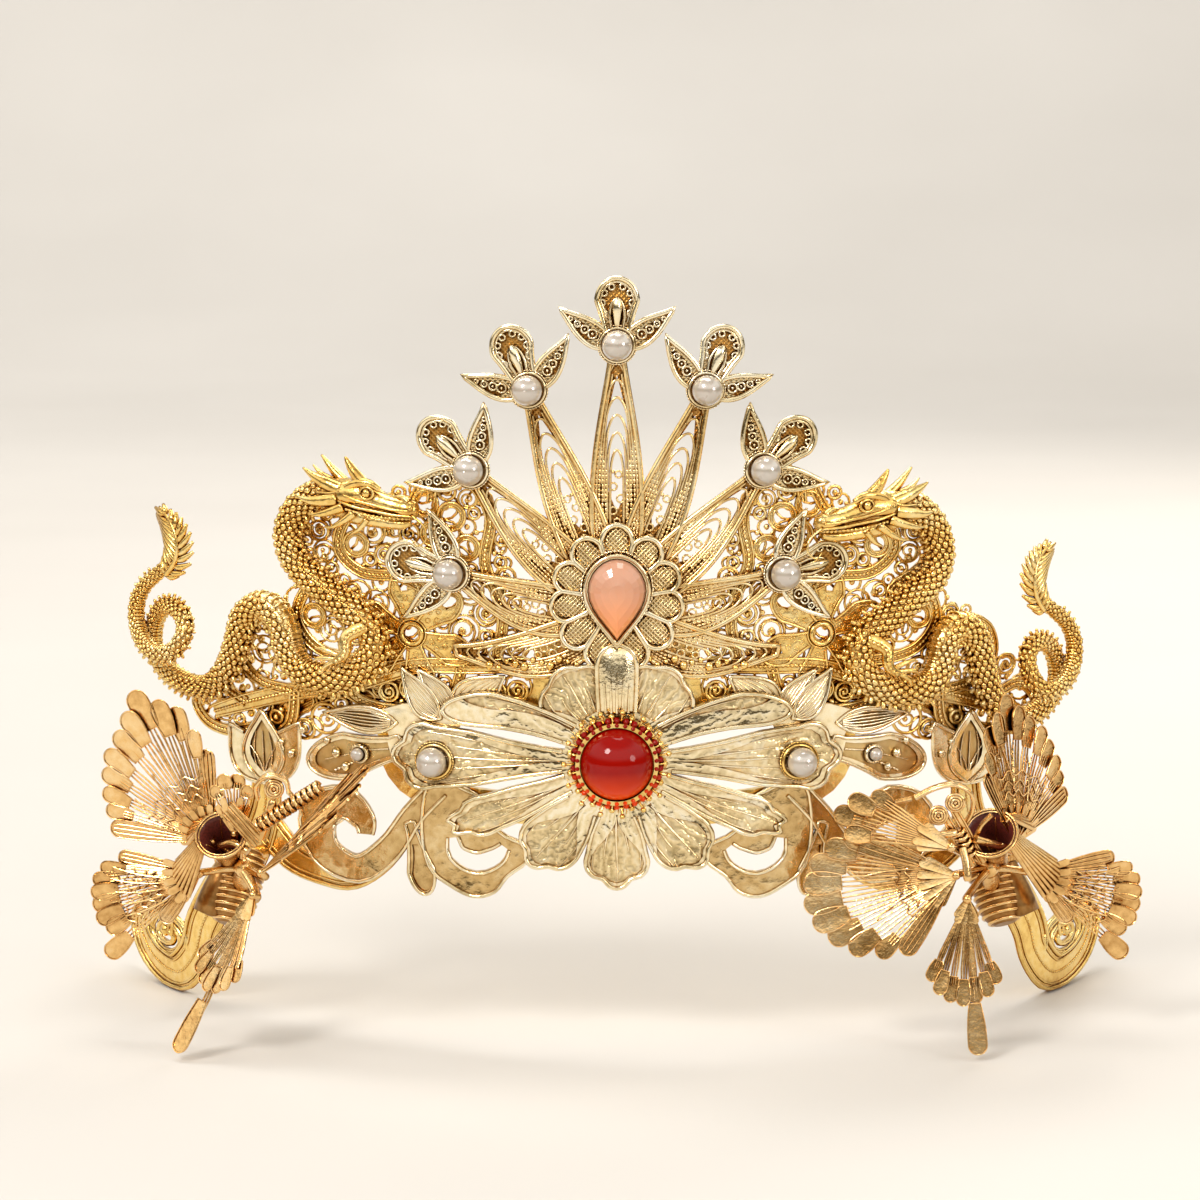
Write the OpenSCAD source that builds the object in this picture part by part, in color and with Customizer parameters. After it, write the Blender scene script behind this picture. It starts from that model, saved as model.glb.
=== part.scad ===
// Phoenix crown: cast frame, filigree fan, flower plate, two dragons, two phoenixes.
// All numbers are millimetres. X runs left to right, Y runs front to back, Z is up.

/* [Crown] */
// Overall width of the crown; everything is scaled with it
crown_w = 179; // [165:1:193]
// Radius of the head curve that the plates follow
shell_r = 95; // [93:0.5:98]
// Thickness of the cast frame
frame_t = 1.4; // [1.2:0.1:1.8]
// Thickness of the filigree sheets
sheet_t = 0.9; // [0.7:0.1:1.1]
// Clearance between two layers
layer_gap = 0.2; // [0.15:0.05:0.3]

/* [Flower plate] */
// Thickness of the flower plate
plate_t = 1.2; // [1:0.1:1.5]
// Depth of the sunk petal floors
sunk = 0.35; // [0.2:0.05:0.5]
// Diameter of the red cabochon
agate_d = 12; // [11:0.1:12.5]
// Height of the red cabochon above its seat
agate_h = 5.6; // [4.5:0.1:6.5]

/* [Fan] */
// Reach of the middle fan petal
fan_reach = 44.7; // [42:0.1:47]
// Greatest width of a fan petal
lancet_w = 9; // [8:0.1:9.6]
// Width of a fan petal at its tip
lancet_tip = 2.4; // [2:0.1:3]
// Width of the opening in a fan petal
lancet_gap = 4.2; // [3:0.1:4.6]
// Width of the drop stone
drop_w = 10; // [9:0.1:10.6]
// Length of the drop stone
drop_l = 13.5; // [12.5:0.1:14]

/* [Pearls] */
// Diameter of the large pearls
pearl_d = 5; // [4.4:0.1:5.4]
// Diameter of the small pearls
small_pearl_d = 2.2; // [1.8:0.1:2.6]

/* [Dragons] */
// Diameter of the dragon body
dragon_d = 5.4; // [4.8:0.1:5.8]
// Height of the back spikes as a share of the body radius
spike = 0.42; // [0.2:0.02:0.55]

/* [Phoenixes] */
// Thickness of the feather sheets
feather_t = 0.6; // [0.5:0.05:0.8]
// Width of a feather tip
feather_w = 3.3; // [2.9:0.1:3.8]
// Width of a feather shaft
shaft_w = 0.9; // [0.7:0.05:1.1]
// Diameter of the phoenix belly
belly_d = 9.4; // [8.4:0.1:10]

/* [Hidden] */
drawn_w = 179;
k = crown_w / drawn_w;
rc = shell_r;
// The floor lies this far under the zero height of the front view
lift = 4.5;
// Half of the depth, so that the origin is under the middle of the crown
depth_mid = 24.9;
l_panel = frame_t + layer_gap;
l_leaf = l_panel + sheet_t + layer_gap;
l_plate = l_leaf + sheet_t + layer_gap;
l_top = l_plate + plate_t + layer_gap;
l_tip = l_plate + sheet_t + layer_gap;
l_dragon = l_panel + sheet_t + layer_gap + dragon_d / 2;
// Heights of the plate's middle, of the fan's root and of the drop's rosette
plate_z = 45.3;
fan_z = plate_z + 24.7;
drop_z = fan_z + 2.6;
// The panels and dragons are drawn for a fan at this height; what is above the rail rises with the fan
drawn_fan_z = 70;
rail_z = 54;
gold = [0.93, 0.76, 0.36];
pale = [0.86, 0.77, 0.5];
rose = [0.9, 0.68, 0.4];

// Curve through four points
function arc4(a, b, c, d, t) =
  0.5 * (2 * b + (c - a) * t + (2 * a - 5 * b + 4 * c - d) * t * t
    + (3 * b - a - 3 * c + d) * t * t * t);
function open_curve(p, n) = let (m = len(p) - 1) concat(
  [for (i = [0:m - 1]) for (j = [0:n - 1])
    arc4(p[max(i - 1, 0)], p[i], p[i + 1], p[min(i + 2, m)], j / n)],
  [p[m]]);
function loop_curve(p, n) = let (m = len(p))
  [for (i = [0:m - 1]) for (j = [0:n - 1])
    arc4(p[(i + m - 1) % m], p[i], p[(i + 1) % m], p[(i + 2) % m], j / n)];

// Height of a point that was drawn at z, once the fan's height is set
function risen(z) = z + (fan_z - drawn_fan_z) * min(max((z - rail_z) / (drawn_fan_z - rail_z), 0), 1);
function raised(rows) = [for (q = rows) [q[0], risen(q[1]), q[2]]];

// A bar of changing width; rows are x, z, width
function bar_side(p, s) =
  [for (i = [0:len(p) - 1]) let (
    a = p[max(i - 1, 0)],
    b = p[min(i + 1, len(p) - 1)],
    h = atan2(b[1] - a[1], b[0] - a[0]),
    w = s * p[i][2] / 2)
    [p[i][0] - sin(h) * w, p[i][1] + cos(h) * w]];
function reversed(p) = [for (i = [len(p) - 1:-1:0]) p[i]];
function bar(rows, n = 4) = let (p = open_curve(rows, n))
  concat(bar_side(p, 1), reversed(bar_side(p, -1)));

// Petal outline along +X: root width, end width, share where it is widest, bend, lobes, dip
function petal(l, w0, w1, at, bend = 0, lobes = 1, dip = 0) = let (
  side = [for (i = [0:4]) let (t = i / 5)
    [l * at * t, (w0 + (w1 - w0) * pow(t, 1.7)) / 2]],
  end = [for (i = [0:12]) let (
    a = 90 - 15 * i,
    q = 1 - dip * (1 - abs(sin((a + 90) * lobes))))
    [l * at + l * (1 - at) * cos(a) * q, w1 / 2 * sin(a) * q]],
  back = [for (i = [4:-1:0]) [side[i][0], -side[i][1]]])
  [for (p = concat(side, end, back)) [p[0], p[1] + bend * p[0] * p[0] / l]];

// Pointed leaf outline along +X
function leaf(l, w, bend = 0, n = 7) = let (
  up = [for (i = [0:n]) let (t = i / n) [l * t, w / 2 * (sin(180 * pow(t, 0.8)) + 0.12 * (1 - t))]],
  dn = [for (i = [n - 1:-1:0]) [up[i][0], -up[i][1]]])
  [for (p = concat(up, dn)) [p[0], p[1] + bend * p[0] * p[0] / l]];

// Fan petal outline along +X, from its root behind the rosette to the tip
function lancet(l, w1, w2, bend = 0, shrink = 0) = let (
  up = [for (i = [0:9]) let (
    t = i / 9,
    w = t < 0.4 ? 3 + (w1 - 3) * sin(225 * t) : w2 + (w1 - w2) * pow(cos(150 * (t - 0.4)), 1.3))
    [l * t, max(w - 2 * shrink, 0.3) / 2]],
  dn = reversed([for (p = up) [p[0], -p[1]]]))
  [for (p = concat(up, dn)) [p[0], p[1] + bend * sin(180 * p[0] / l)]];

// One feather: a thin shaft that widens to a round tip
function feather(l, w0, w1) = [
  [0, w0 / 2], [l * 0.5, w0 / 2], [l * 0.68, w0 / 2 + 0.2 * w1],
  for (a = [80:-20:-80]) [l * 0.84 + l * 0.16 * cos(a), w1 / 2 * sin(a)],
  [l * 0.68, -w0 / 2 - 0.2 * w1], [l * 0.5, -w0 / 2], [0, -w0 / 2]];

// A sheet that is drawn on the front view and bent round the head curve
module bent(layer, th) {
  intersection() {
    translate([0, rc, 0]) rotate([90, 0, 0]) linear_extrude(height = rc + 14) children();
    translate([0, rc, -20]) difference() {
      cylinder(r = rc + layer + th, h = 190, $fn = 96);
      translate([0, 0, -1]) cylinder(r = rc + layer, h = 192, $fn = 96);
    }
  }
}
// Children stand on the head curve: their +Z points outward and their +Y points up
module on_curve(x, z, layer) {
  r = rc + layer;
  translate([x, rc - sqrt(r * r - x * x), z]) rotate([0, 0, asin(x / r)]) rotate([90, 0, 0]) children();
}
module stand() {
  translate([0, -depth_mid * k, lift * k]) scale(k) children();
}
module right_or_left(left) {
  mirror([left ? 1 : 0, 0, 0]) children();
}
module both() {
  for (m = [0, 1]) mirror([m, 0]) children();
}
module merged() {
  offset(delta = 0.04) children();
}

// Cast frame: upper rail, side arms with volute ends and the spine of the fan
frame_arm = [ // x, z, width
  [28, 52, 6], [38, 56, 5], [49, 55, 5], [57, 50, 5], [60, 41, 5], [61, 32, 6],
  [64, 24, 7], [69, 17, 7], [73, 9.6, 6.8], [74.8, 3.6, 6.6], [78.6, -1, 6.8],
  [84, 0.4, 6], [86.6, 5, 4.6], [84.2, 9.2, 3.8], [80.6, 8.4, 3.2], [80.4, 5.4, 2.4]
];
frame_foot = [[61, 30, 6], [56, 25, 5.5], [50, 23, 5], [45, 22.8, 4.6], [39.5, 26.5, 4], [35, 33, 4]];
module base_frame() {
  color(gold) stand() bent(0, frame_t) difference() {
    merged() {
      both() {
        polygon(bar(frame_arm, 4));
        polygon(bar(frame_foot, 4));
        polygon(bar([[0, 36, 5], [18, 36.5, 5], [33, 39, 5], [38, 46, 5], [36, 56, 5]], 4));
        polygon(bar([[0, 54, 6], [14, 54, 6], [32, 53, 6]], 3));
        polygon(bar(raised([[12, 53, 4.5], [11, 64, 4.5], [6, 80, 4]]), 3));
      }
      polygon(bar(raised([[-9, 78, 4], [0, 80, 4], [9, 78, 4]]), 3));
    }
    translate([-120, -lift - 30]) square([240, 30]);
  }
}

// Filigree panel beside the fan
panel_scrolls = [ // rows of x, z, width
  [[15, 61, 2.6], [24, 60.5, 2.6], [34, 60, 2.8], [44, 56.5, 2.8], [55, 54, 3], [64, 51, 3], [70, 48.5, 2.4]],
  [[20, 62, 2], [19, 70, 2], [22, 78, 2], [21, 86, 2], [25, 92, 1.8], [30, 91.5, 1.6], [31, 88, 1.6]],
  [[36, 62, 2], [44, 60.5, 2], [51, 62, 2], [54.5, 67, 2], [52, 72.5, 2], [47, 73, 1.8], [46, 69.5, 1.6]],
  [[54, 54, 2], [61, 55, 2], [65, 59, 2], [64, 64, 2], [59.5, 66, 2], [57, 62.5, 1.6]],
  [[30, 72, 2], [36, 75, 2], [43, 75.5, 2], [47, 79.5, 2], [45, 85, 2], [39.5, 86, 1.8], [38, 82, 1.6]],
  [[47, 73, 2], [52, 76, 2], [54, 81, 1.8], [52, 85, 1.6]],
  [[26, 60, 2], [28, 55, 2], [35, 52.5, 2], [42, 53, 2], [47, 56, 2]],
  [[64, 51, 2], [70, 53.5, 2], [73.5, 50, 2], [71.5, 46.5, 2], [67, 45.5, 2], [62, 47, 2]],
  [[55, 54, 2], [56, 48, 2], [61, 44, 2]],
  [[33, 90, 1.8], [35.5, 86, 1.8], [39.5, 86, 1.8]]
];
panel_rings = [ // x, z, radius
  [27.6, 85.6, 2.6], [32, 87.6, 2.4], [30.6, 82.6, 2.4], [25, 80.4, 2.4], [43.9, 80.2, 2.4], [51.4, 67.4, 2.3]
];
panel_flower = [34.4, risen(65.6)];
module side_panel(left) {
  color(gold) stand() right_or_left(left) bent(l_panel, sheet_t) merged() difference() {
    union() {
      for (s = panel_scrolls) polygon(bar(raised(s), 3));
      for (r = raised(panel_rings)) translate([r[0], r[1]]) difference() {
        circle(r = r[2], $fn = 14);
        circle(r = r[2] - 1.1, $fn = 10);
      }
      translate(panel_flower) for (a = [20:60:320]) rotate(a) difference() {
        polygon(petal(11, 2.2, 5.6, 0.62));
        translate([7.2, 0]) polygon(petal(2.6, 1.2, 2, 0.6));
      }
    }
    translate(panel_flower) circle(r = 1.2, $fn = 10);
  }
}

// Leaf, hook and small leaf under the flower plate
leaf_edge = [ // x, z
  [31, 41], [33.2, 34], [32, 26], [28, 22.6], [24, 21], [20.4, 22], [18.2, 24.8], [14.8, 27.6],
  [15.4, 30.6], [19.6, 32.8], [22, 38]
];
hook_bar = [ // x, z, width
  [30, 39.5, 4], [34.5, 34.5, 4], [38.5, 28.5, 4.6], [44, 24.4, 5], [50, 27, 6], [51, 33, 7],
  [46.4, 35.6, 6], [43, 33, 4.4], [42.6, 30.6, 3]
];
leaf_hole = [[27.6, 31.2, 1.2], [26.8, 28.4, 2.4], [23.6, 27, 3], [20.4, 28.2, 2.6], [18.8, 30, 1.2]];
module lower_leaf(left) {
  color(pale) stand() right_or_left(left) difference() {
    bent(l_panel, sheet_t) merged() difference() {
      union() {
        polygon(loop_curve(leaf_edge, 3));
        polygon(bar(hook_bar, 4));
        translate([35, 33.5]) rotate(-103) polygon(petal(13, 2, 5, 0.66));
      }
      polygon(bar(leaf_hole, 3));
    }
    bent(l_panel + sheet_t - sunk, 1) translate([35, 33.5]) rotate(-103) translate([4, 0])
      polygon(petal(8.2, 1, 3.4, 0.6));
  }
}

// Twelve-petal flower plate
plate_petals = [ // angle, length, root width, end width, widest, bend, lobes, dip
  [0, 38, 2.6, 12.6, 0.8, 0, 3, 0.16],
  [37, 28.6, 3.4, 7.2, 0.8, -0.37, 1, 0],
  [58, 18.4, 6, 13.4, 0.66, 0, 3, 0.1],
  [-25.5, 31, 2.6, 7.4, 0.72, 0.05, 4, 0.14],
  [-53, 23.2, 2, 11.6, 0.68, 0.04, 3, 0.12]
];
plate_middle = [[90, 19, 4.6, 6.8, 0.78, 0, 1, 0], [-90, 21.8, 2.4, 12, 0.7, 0, 3, 0.14]];
module plate_row(p, cut) {
  rotate(p[0]) translate([cut * 9, 0])
    polygon(petal(p[1] - cut * 10.2, p[2] - cut * 2.6, p[3] - cut * 2.2, p[4] - cut * 0.1,
      p[5], p[6], p[7]));
}
module plate_all(cut) {
  translate([0, plate_z]) {
    both() for (p = plate_petals) plate_row(p, cut);
    for (p = plate_middle) plate_row(p, cut);
  }
}
module flower_plate() {
  color(pale) stand() difference() {
    bent(l_plate, plate_t) merged() {
      translate([0, plate_z]) circle(r = 8.9, $fn = 32);
      plate_all(0);
    }
    bent(l_plate + plate_t - sunk, 2) merged() plate_all(1);
  }
}
module agate_bezel() {
  color(gold) stand() on_curve(0, plate_z, l_top) rotate_extrude($fn = 64) polygon([
    [0, 0], [agate_d / 2 + 1.8, 0], [agate_d / 2 + 1.8, 0.7], [agate_d / 2 + 1.1, 1.3],
    [agate_d / 2 + 0.9, 2.6], [agate_d / 2 + layer_gap, 2.6], [agate_d / 2 + layer_gap, 0.8], [0, 0.8]]);
}
module agate() {
  h = agate_h - 1.2;
  r = (agate_d * agate_d / 4 + h * h) / (2 * h);
  color([0.7, 0.05, 0.02]) stand() on_curve(0, plate_z, l_top + 0.8 + layer_gap) {
    cylinder(r = agate_d / 2, h = 1.2, $fn = 64);
    intersection() {
      translate([0, 0, 1.2 + h - r]) sphere(r = r, $fn = 64);
      cylinder(r = agate_d / 2, h = agate_h, $fn = 64);
    }
  }
}
// A pearl with a flat seat, held by a ring that is part of the same setting
module pearl(x, z, layer, d) {
  color([0.96, 0.94, 0.9]) stand() on_curve(x, z, layer) intersection() {
    translate([0, 0, d * 0.3]) sphere(d = d, $fn = 48);
    cylinder(d = d * 2, h = d * 2, $fn = 24);
  }
}
module plate_pearl(left) {
  right_or_left(left) pearl(30.6, plate_z - 0.7, l_top, pearl_d);
}

// Fan of lancet petals
fan_petals = [ // angle from upright, reach as a share of the middle petal, bow
  [0, 1, 0], [21.4, 0.895, -0.4], [45.5, 0.76, -1], [77, 0.635, -2.2]
];
function tip_of(p) = let (l = fan_reach * p[1]) [l * sin(p[0]), fan_z + l * cos(p[0])];
module fan_one(p, cut) {
  l = fan_reach * p[1];
  rotate(90 - p[0]) {
    if (cut == 0) polygon(lancet(l, lancet_w, lancet_tip, p[2]));
    if (cut == 1) translate([l * 0.39, p[2] * 0.9]) polygon(leaf(l * 0.5, lancet_gap, -p[2] * 0.04, 9));
    if (cut == 2) intersection() {
      polygon(lancet(l, lancet_w, lancet_tip, p[2], 0.7));
      translate([13.4, -10]) square([l - 14.4, 20]);
    }
  }
}
module fan_all(cut) {
  translate([0, fan_z]) both() {
    for (p = fan_petals) fan_one(p, cut);
    fan_one([104, 0.62, -3.4], cut);
  }
}
module fan() {
  color(pale) stand() difference() {
    bent(l_leaf, sheet_t) merged() difference() {
      union() {
        fan_all(0);
        translate([0, fan_z]) circle(r = 9, $fn = 32);
      }
      fan_all(1);
    }
    bent(l_leaf + sheet_t - 0.3, 2) merged() fan_all(2);
  }
}
module rosette() {
  n = 11;
  color(pale) stand() difference() {
    bent(l_plate, sheet_t) difference() {
      translate([0, drop_z]) merged() {
        circle(r = 8.4, $fn = 32);
        for (i = [0:n - 1]) rotate(90 + i * 360 / n)
          polygon(petal(12.6 - 1.4 * abs(sin(i * 360 / n)), 2.4, 5.6, 0.76));
      }
      offset(delta = 0.3) plate_all(0);
    }
    bent(l_plate + sheet_t - 0.3, 2) translate([0, drop_z]) merged()
      for (i = [0:n - 1]) rotate(90 + i * 360 / n) translate([8.2, 0])
        polygon(petal(3.6 - 1.4 * abs(sin(i * 360 / n)), 2, 3.6, 0.5));
  }
}
// Pear outline, point downward
function pear(w, l, n = 28) = [for (i = [0:n - 1]) let (
  a = 360 * i / n,
  s = (1 - cos(a)) / 2,
  z = w / 2 - l * s)
  [w / 2 * sin(a) * (1 - pow(s, 2.2) * 0.92) * (1.12 - 0.12 * cos(a)), z]];
module drop_bezel() {
  color(gold) stand() on_curve(0, drop_z + 1.9, l_tip) difference() {
    linear_extrude(height = 2.2) offset(delta = 0.9) polygon(pear(drop_w, drop_l));
    translate([0, 0, 0.7]) linear_extrude(height = 3) offset(delta = layer_gap) polygon(pear(drop_w, drop_l));
  }
}
module drop_stone() {
  n = 28;
  rings = [[1, 0], [1, 1.2], [0.94, 2.2], [0.8, 3.1], [0.58, 3.8], [0.3, 4.2]]; // size, height
  pts = concat(
    [for (r = rings) for (q = pear(drop_w, drop_l, n)) [q[0] * r[0], q[1] * r[0] - (1 - r[0]) * 0.6, r[1]]],
    [[0, -0.6, 4.3]]);
  m = len(rings);
  faces = concat(
    [[for (i = [0:n - 1]) i]],
    [for (j = [0:m - 2]) for (i = [0:n - 1])
      [j * n + i, (j + 1) * n + i, (j + 1) * n + (i + 1) % n, j * n + (i + 1) % n]],
    [for (i = [0:n - 1]) [(m - 1) * n + i, m * n, (m - 1) * n + (i + 1) % n]]);
  color([0.93, 0.66, 0.58]) stand() on_curve(0, drop_z + 1.9, l_tip + 0.7 + layer_gap) polyhedron(pts, faces);
}
// Small flower at the tip of a fan petal
function tip_row(i) = i == 1 ? fan_petals[0] : fan_petals[floor(i / 2)];
module tip_flower(i) {
  p = tip_row(i);
  q = tip_of(p);
  right_or_left(i % 2 == 0) color(pale) stand() difference() {
    bent(l_plate, sheet_t) translate(q) rotate(90 - p[0]) merged() {
      circle(r = 3.2, $fn = 20);
      polygon(petal(11.2, 4, 7.2, 0.64));
      for (s = [-1, 1]) mirror([0, s < 0 ? 1 : 0]) rotate(72) polygon(leaf(11, 4, -0.26));
    }
    bent(l_plate + sheet_t - 0.3, 2) translate(q) rotate(90 - p[0]) {
      translate([3.4, 0]) polygon(petal(6.8, 1.6, 5.6, 0.54));
      for (s = [-1, 1]) mirror([0, s < 0 ? 1 : 0]) rotate(72) translate([3.2, -0.2])
        polygon(leaf(6.2, 2.2, -0.26));
    }
  }
}
module tip_pearl(i) {
  p = tip_row(i);
  q = tip_of(p);
  right_or_left(i % 2 == 0) pearl(q[0], q[1], l_tip, pearl_d);
}

// Leaves above the flower plate
spray = [ // x, z, angle, length, width, bend
  [27, 52.6, 130, 10.5, 6.2, 0.2], [28, 52.4, 70, 9, 4, -0.3], [29.4, 51.6, 34, 10.4, 4.8, 0.3],
  [37, 50.4, 1, 13, 4.6, 0.04]
];
module bud_spray(left) {
  color(pale) stand() right_or_left(left) difference() {
    bent(l_leaf, sheet_t) merged() {
      for (b = spray) translate([b[0], b[1]]) rotate(b[2]) polygon(leaf(b[3], b[4], b[5]));
      translate([36, 46.4]) rotate(-14) polygon(petal(17.4, 4, 8.2, 0.56));
      polygon(bar([[27, 49, 4], [33, 51.5, 5], [39, 50, 5]], 3));
    }
    bent(l_leaf + sheet_t - sunk, 2) {
      translate([36, 46.4]) rotate(-14) translate([2.4, 0]) polygon(petal(13.4, 2.4, 6, 0.56));
      translate([37, 50.4]) rotate(1) translate([2.4, 0]) polygon(leaf(9, 2.8, 0.04));
    }
  }
}
module lotus(left) {
  petals = [[124, 11.6, 6.6], [60, 13.2, 6.6], [92, 12.8, 7.4]]; // angle, length, width
  color(pale) stand() right_or_left(left) difference() {
    bent(l_leaf, sheet_t) translate([60.6, 37.6]) merged() mirror([1, 0])
      for (p = petals) rotate(p[0]) polygon(leaf(p[1], p[2]));
    bent(l_leaf + sheet_t - sunk, 2) translate([60.6, 37.6]) mirror([1, 0])
      rotate(92) translate([2, 0]) polygon(leaf(9, 4.6));
  }
}
module small_pearl(left) {
  right_or_left(left) pearl(43.6, 44.6, l_leaf + sheet_t + layer_gap, small_pearl_d);
}

// Tube along rows of x, z, layer, half width, half thickness; spikes on the back side
function curve_point(q) = let (r = rc + q[2]) [q[0], rc - sqrt(r * r - q[0] * q[0]), q[1]];
function out_of(q) = let (r = rc + q[2]) [q[0] / r, -sqrt(1 - q[0] * q[0] / (r * r)), 0];
function unit(v) = v / norm(v);
module tube(rows, n, spikes = 0) {
  c = open_curve(rows, n);
  m = len(c);
  s = 8;
  pts = [for (i = [0:m - 1]) let (
    t = unit(curve_point(c[min(i + 1, m - 1)]) - curve_point(c[max(i - 1, 0)])),
    o = out_of(c[i]),
    side = unit(cross(t, o)))
    for (j = [0:s - 1]) let (
      a = j * 360 / s,
      g = j == 0 && i % 2 == 0 ? 1 + spikes : 1)
      curve_point(c[i]) + side * cos(a) * c[i][3] * g + unit(cross(side, t)) * sin(a) * c[i][4]];
  polyhedron(pts, concat(
    [[for (j = [s - 1:-1:0]) j]],
    [for (i = [0:m - 2]) for (j = [0:s - 1])
      [i * s + (j + 1) % s, (i + 1) * s + (j + 1) % s, (i + 1) * s + j, i * s + j]],
    [[for (j = [0:s - 1]) (m - 1) * s + j]]));
}
dragon_rows = [ // x, z, layer, radius share
  [46, 89, 0, 1], [50.4, 88.7, 0, 1], [54, 85.7, 0, 1], [55.5, 81, 0, 1], [53.8, 76.5, 0, 1],
  [49.9, 73.2, 0, 1], [45.9, 70.3, 0, 1], [41.9, 67.2, 0, 1], [40.6, 63.3, 0, 1],
  [43, 59.6, 0, 1], [47.8, 57.5, 0, 1], [53.1, 58.3, 0, 1], [55.7, 62, 0, 1],
  [56.9, 66.6, 0, 1], [60, 69, 0, 1], [63.4, 66.9, 0, 0.98], [64.9, 62.1, 0, 0.94],
  [66.9, 57.2, 0, 0.88], [70.4, 53.6, 0, 0.8], [74.7, 53.2, 0, 0.72], [79, 55, -0.2, 0.66],
  [81.4, 58, -0.4, 0.6], [81.5, 61.6, -0.4, 0.58], [80.2, 64.8, -0.2, 0.56],
  [77.8, 66.4, 0.4, 0.56], [75.2, 65.2, 1.4, 0.56], [74.8, 62.3, 2.4, 0.56],
  [77.2, 59.2, 3.6, 0.56], [80.8, 58.6, 4, 0.54], [83.6, 61.2, 3.4, 0.52],
  [84.4, 65.3, 2.6, 0.5], [83, 69, 2, 0.46], [79.8, 72.2, 1.6, 0.42], [77.4, 74.4, 1.4, 0.36]
];
head_rows = [ // x, z, layer, half height, half thickness
  [50, 88.8, 0, 2.4, 2.4], [46.4, 88.7, 0.4, 3.3, 3.2], [42.8, 88.7, 0.8, 3.2, 3.4],
  [39.6, 88.2, 1, 2.6, 3], [36.6, 87.2, 1, 1.9, 2.5], [34.6, 86.8, 1, 1.9, 2.2], [33.2, 86.2, 1, 1.2, 1.4]
];
jaw_rows = [
  [46, 86.6, 0.4, 1.8, 2.4], [41, 85, 0.7, 1.2, 2], [36.6, 84.4, 0.8, 0.9, 1.6], [34, 84.7, 0.8, 0.5, 0.9]
];
spurs = [ // rows of horns, ears and mane
  [[41.6, 90.4, 2, 1, 1], [44, 92.4, 2.4, 0.8, 0.8], [45, 95.2, 2.8, 0.3, 0.3]],
  [[44, 90.4, -0.6, 1, 1], [47, 92.2, -0.8, 0.8, 0.8], [49, 94.6, -1, 0.3, 0.3]],
  [[46, 90, 1.6, 1.6, 1], [49.4, 90.8, 2, 1.1, 0.8], [52, 92.4, 2, 0.3, 0.3]],
  [[46.6, 88, 2.4, 1.6, 1], [50, 87.4, 2.8, 1.1, 0.8], [53.4, 88, 2.6, 0.3, 0.3]]
];
leg_rows = [
  [42, 67, -0.4, 1.6, 1.4], [45.6, 64.4, -0.4, 1.3, 1.2], [44.8, 61, -0.4, 1.2, 1.1],
  [48.4, 60.4, -0.4, 0.5, 0.5]
];
tail_edge = [ // x, z
  [77, 72.6], [73.4, 75.4], [72.2, 77.8], [73.2, 81], [75.7, 82.9], [78.5, 83], [81, 82],
  [79.6, 80.2], [80.6, 76.4], [79, 73.8]
];
// How far a point of a dragon is moved: the right one hangs lower, most of all at its tail
function droop(q, d) = let (f = d * min(max((q[0] - 50) / 28, 0), 1))
  [-4.3 * f, risen(q[1]) - q[1] - 2.1 * d - 3.5 * f];
function laid(rows, d, r) = [for (q = rows) let (
  g = droop(q, d),
  round = len(q) == 4)
  [q[0] + g[0], q[1] + g[1], q[2] + l_dragon, round ? q[3] * r : q[3], round ? q[3] * r : q[4]]];
module dragon(left) {
  d = left ? 0 : 1;
  color(gold) stand() right_or_left(left) {
    tube(laid(dragon_rows, d, dragon_d / 2), 3, spike);
    tube(laid(head_rows, d, 1), 2);
    tube(laid(jaw_rows, d, 1), 2);
    for (s = spurs) tube(laid(s, d, 1), 2);
    tube(laid(leg_rows, d, 1), 2);
    bent(l_dragon + 0.6, 1.6) polygon([for (q = loop_curve(tail_edge, 2)) q + droop(q, d)]);
  }
}

// Feather fans of the phoenixes; angles are from the middle of each fan
upper_rows = [ // angle, length
  [40, 16], [34, 19.6], [28, 24], [22, 26], [15, 29], [8.5, 26.6], [0.5, 25], [-8, 24],
  [-16, 22.6], [-24, 21], [-32, 19.6], [-41, 18.2]
];
lower_rows = [
  [28, 14.6], [20, 17.6], [13, 19.2], [6.5, 19.8], [0, 20.2], [-7, 20.4], [-14, 19.8], [-23, 22.4],
  [-37, 13]
];
inner_rows = [
  [-36, 20], [-28, 22.6], [-20, 24.6], [-12, 25.6], [-4, 26], [4, 25.4], [12, 24], [21, 22], [31, 19],
  [41, 16]
];
breast_rows = [[-14, 16], [-5, 19], [4, 20.4], [13, 18]];
small_rows = [[-22, 9], [-8, 10.5], [6, 10.5], [20, 9]];
tail_rows = [[-24, 15], [-16.5, 16.6], [-9, 17.4], [-1.5, 17.8], [6, 17.4], [13.5, 16.6], [21, 15]];
// The right upper wing is spread wider than the left one, and its feathers are shorter
right_spread = 1.15;
right_share = 0.86;
// Where each fan is pinned: x, y, z, then roll, yaw, pitch and the turn of the fan in its own plane
poses_right = [
  [[67.6, 5.4, 29.8], [-12, 46, 0, 64]], [[70.6, 4.6, 24.4], [0, 14, 0, -19]],
  [[57, -1.6, 25.4], [0, -3, -4, 196]], [[56, -3, 30.4], [0, -4, -8, 160]],
  [[58.5, -5, 22], [2, 6, -9, -90]]
];
poses_left = [
  [[68.4, 6, 29.5], [0, 14, 0, 47]], [[70.6, 4.6, 24.4], [0, 14, 0, -19]],
  [[59.4, -1.4, 25.4], [44, 0, -80, 186]], [[64.4, 3.4, 31.4], [0, 12, 0, 88]],
  [[60.5, -4.6, 22.4], [-20, 52, -9, -90]]
];
function pose_of(left, i) = left ? poses_left[i] : poses_right[i];
module fan_sheet(rows, w0 = shaft_w, w1 = feather_w, hub = 2.2) {
  linear_extrude(height = feather_t) merged() {
    circle(r = hub, $fn = 14);
    for (f = rows) rotate(f[0]) polygon(feather(f[1], w0, w1));
  }
}
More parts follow.
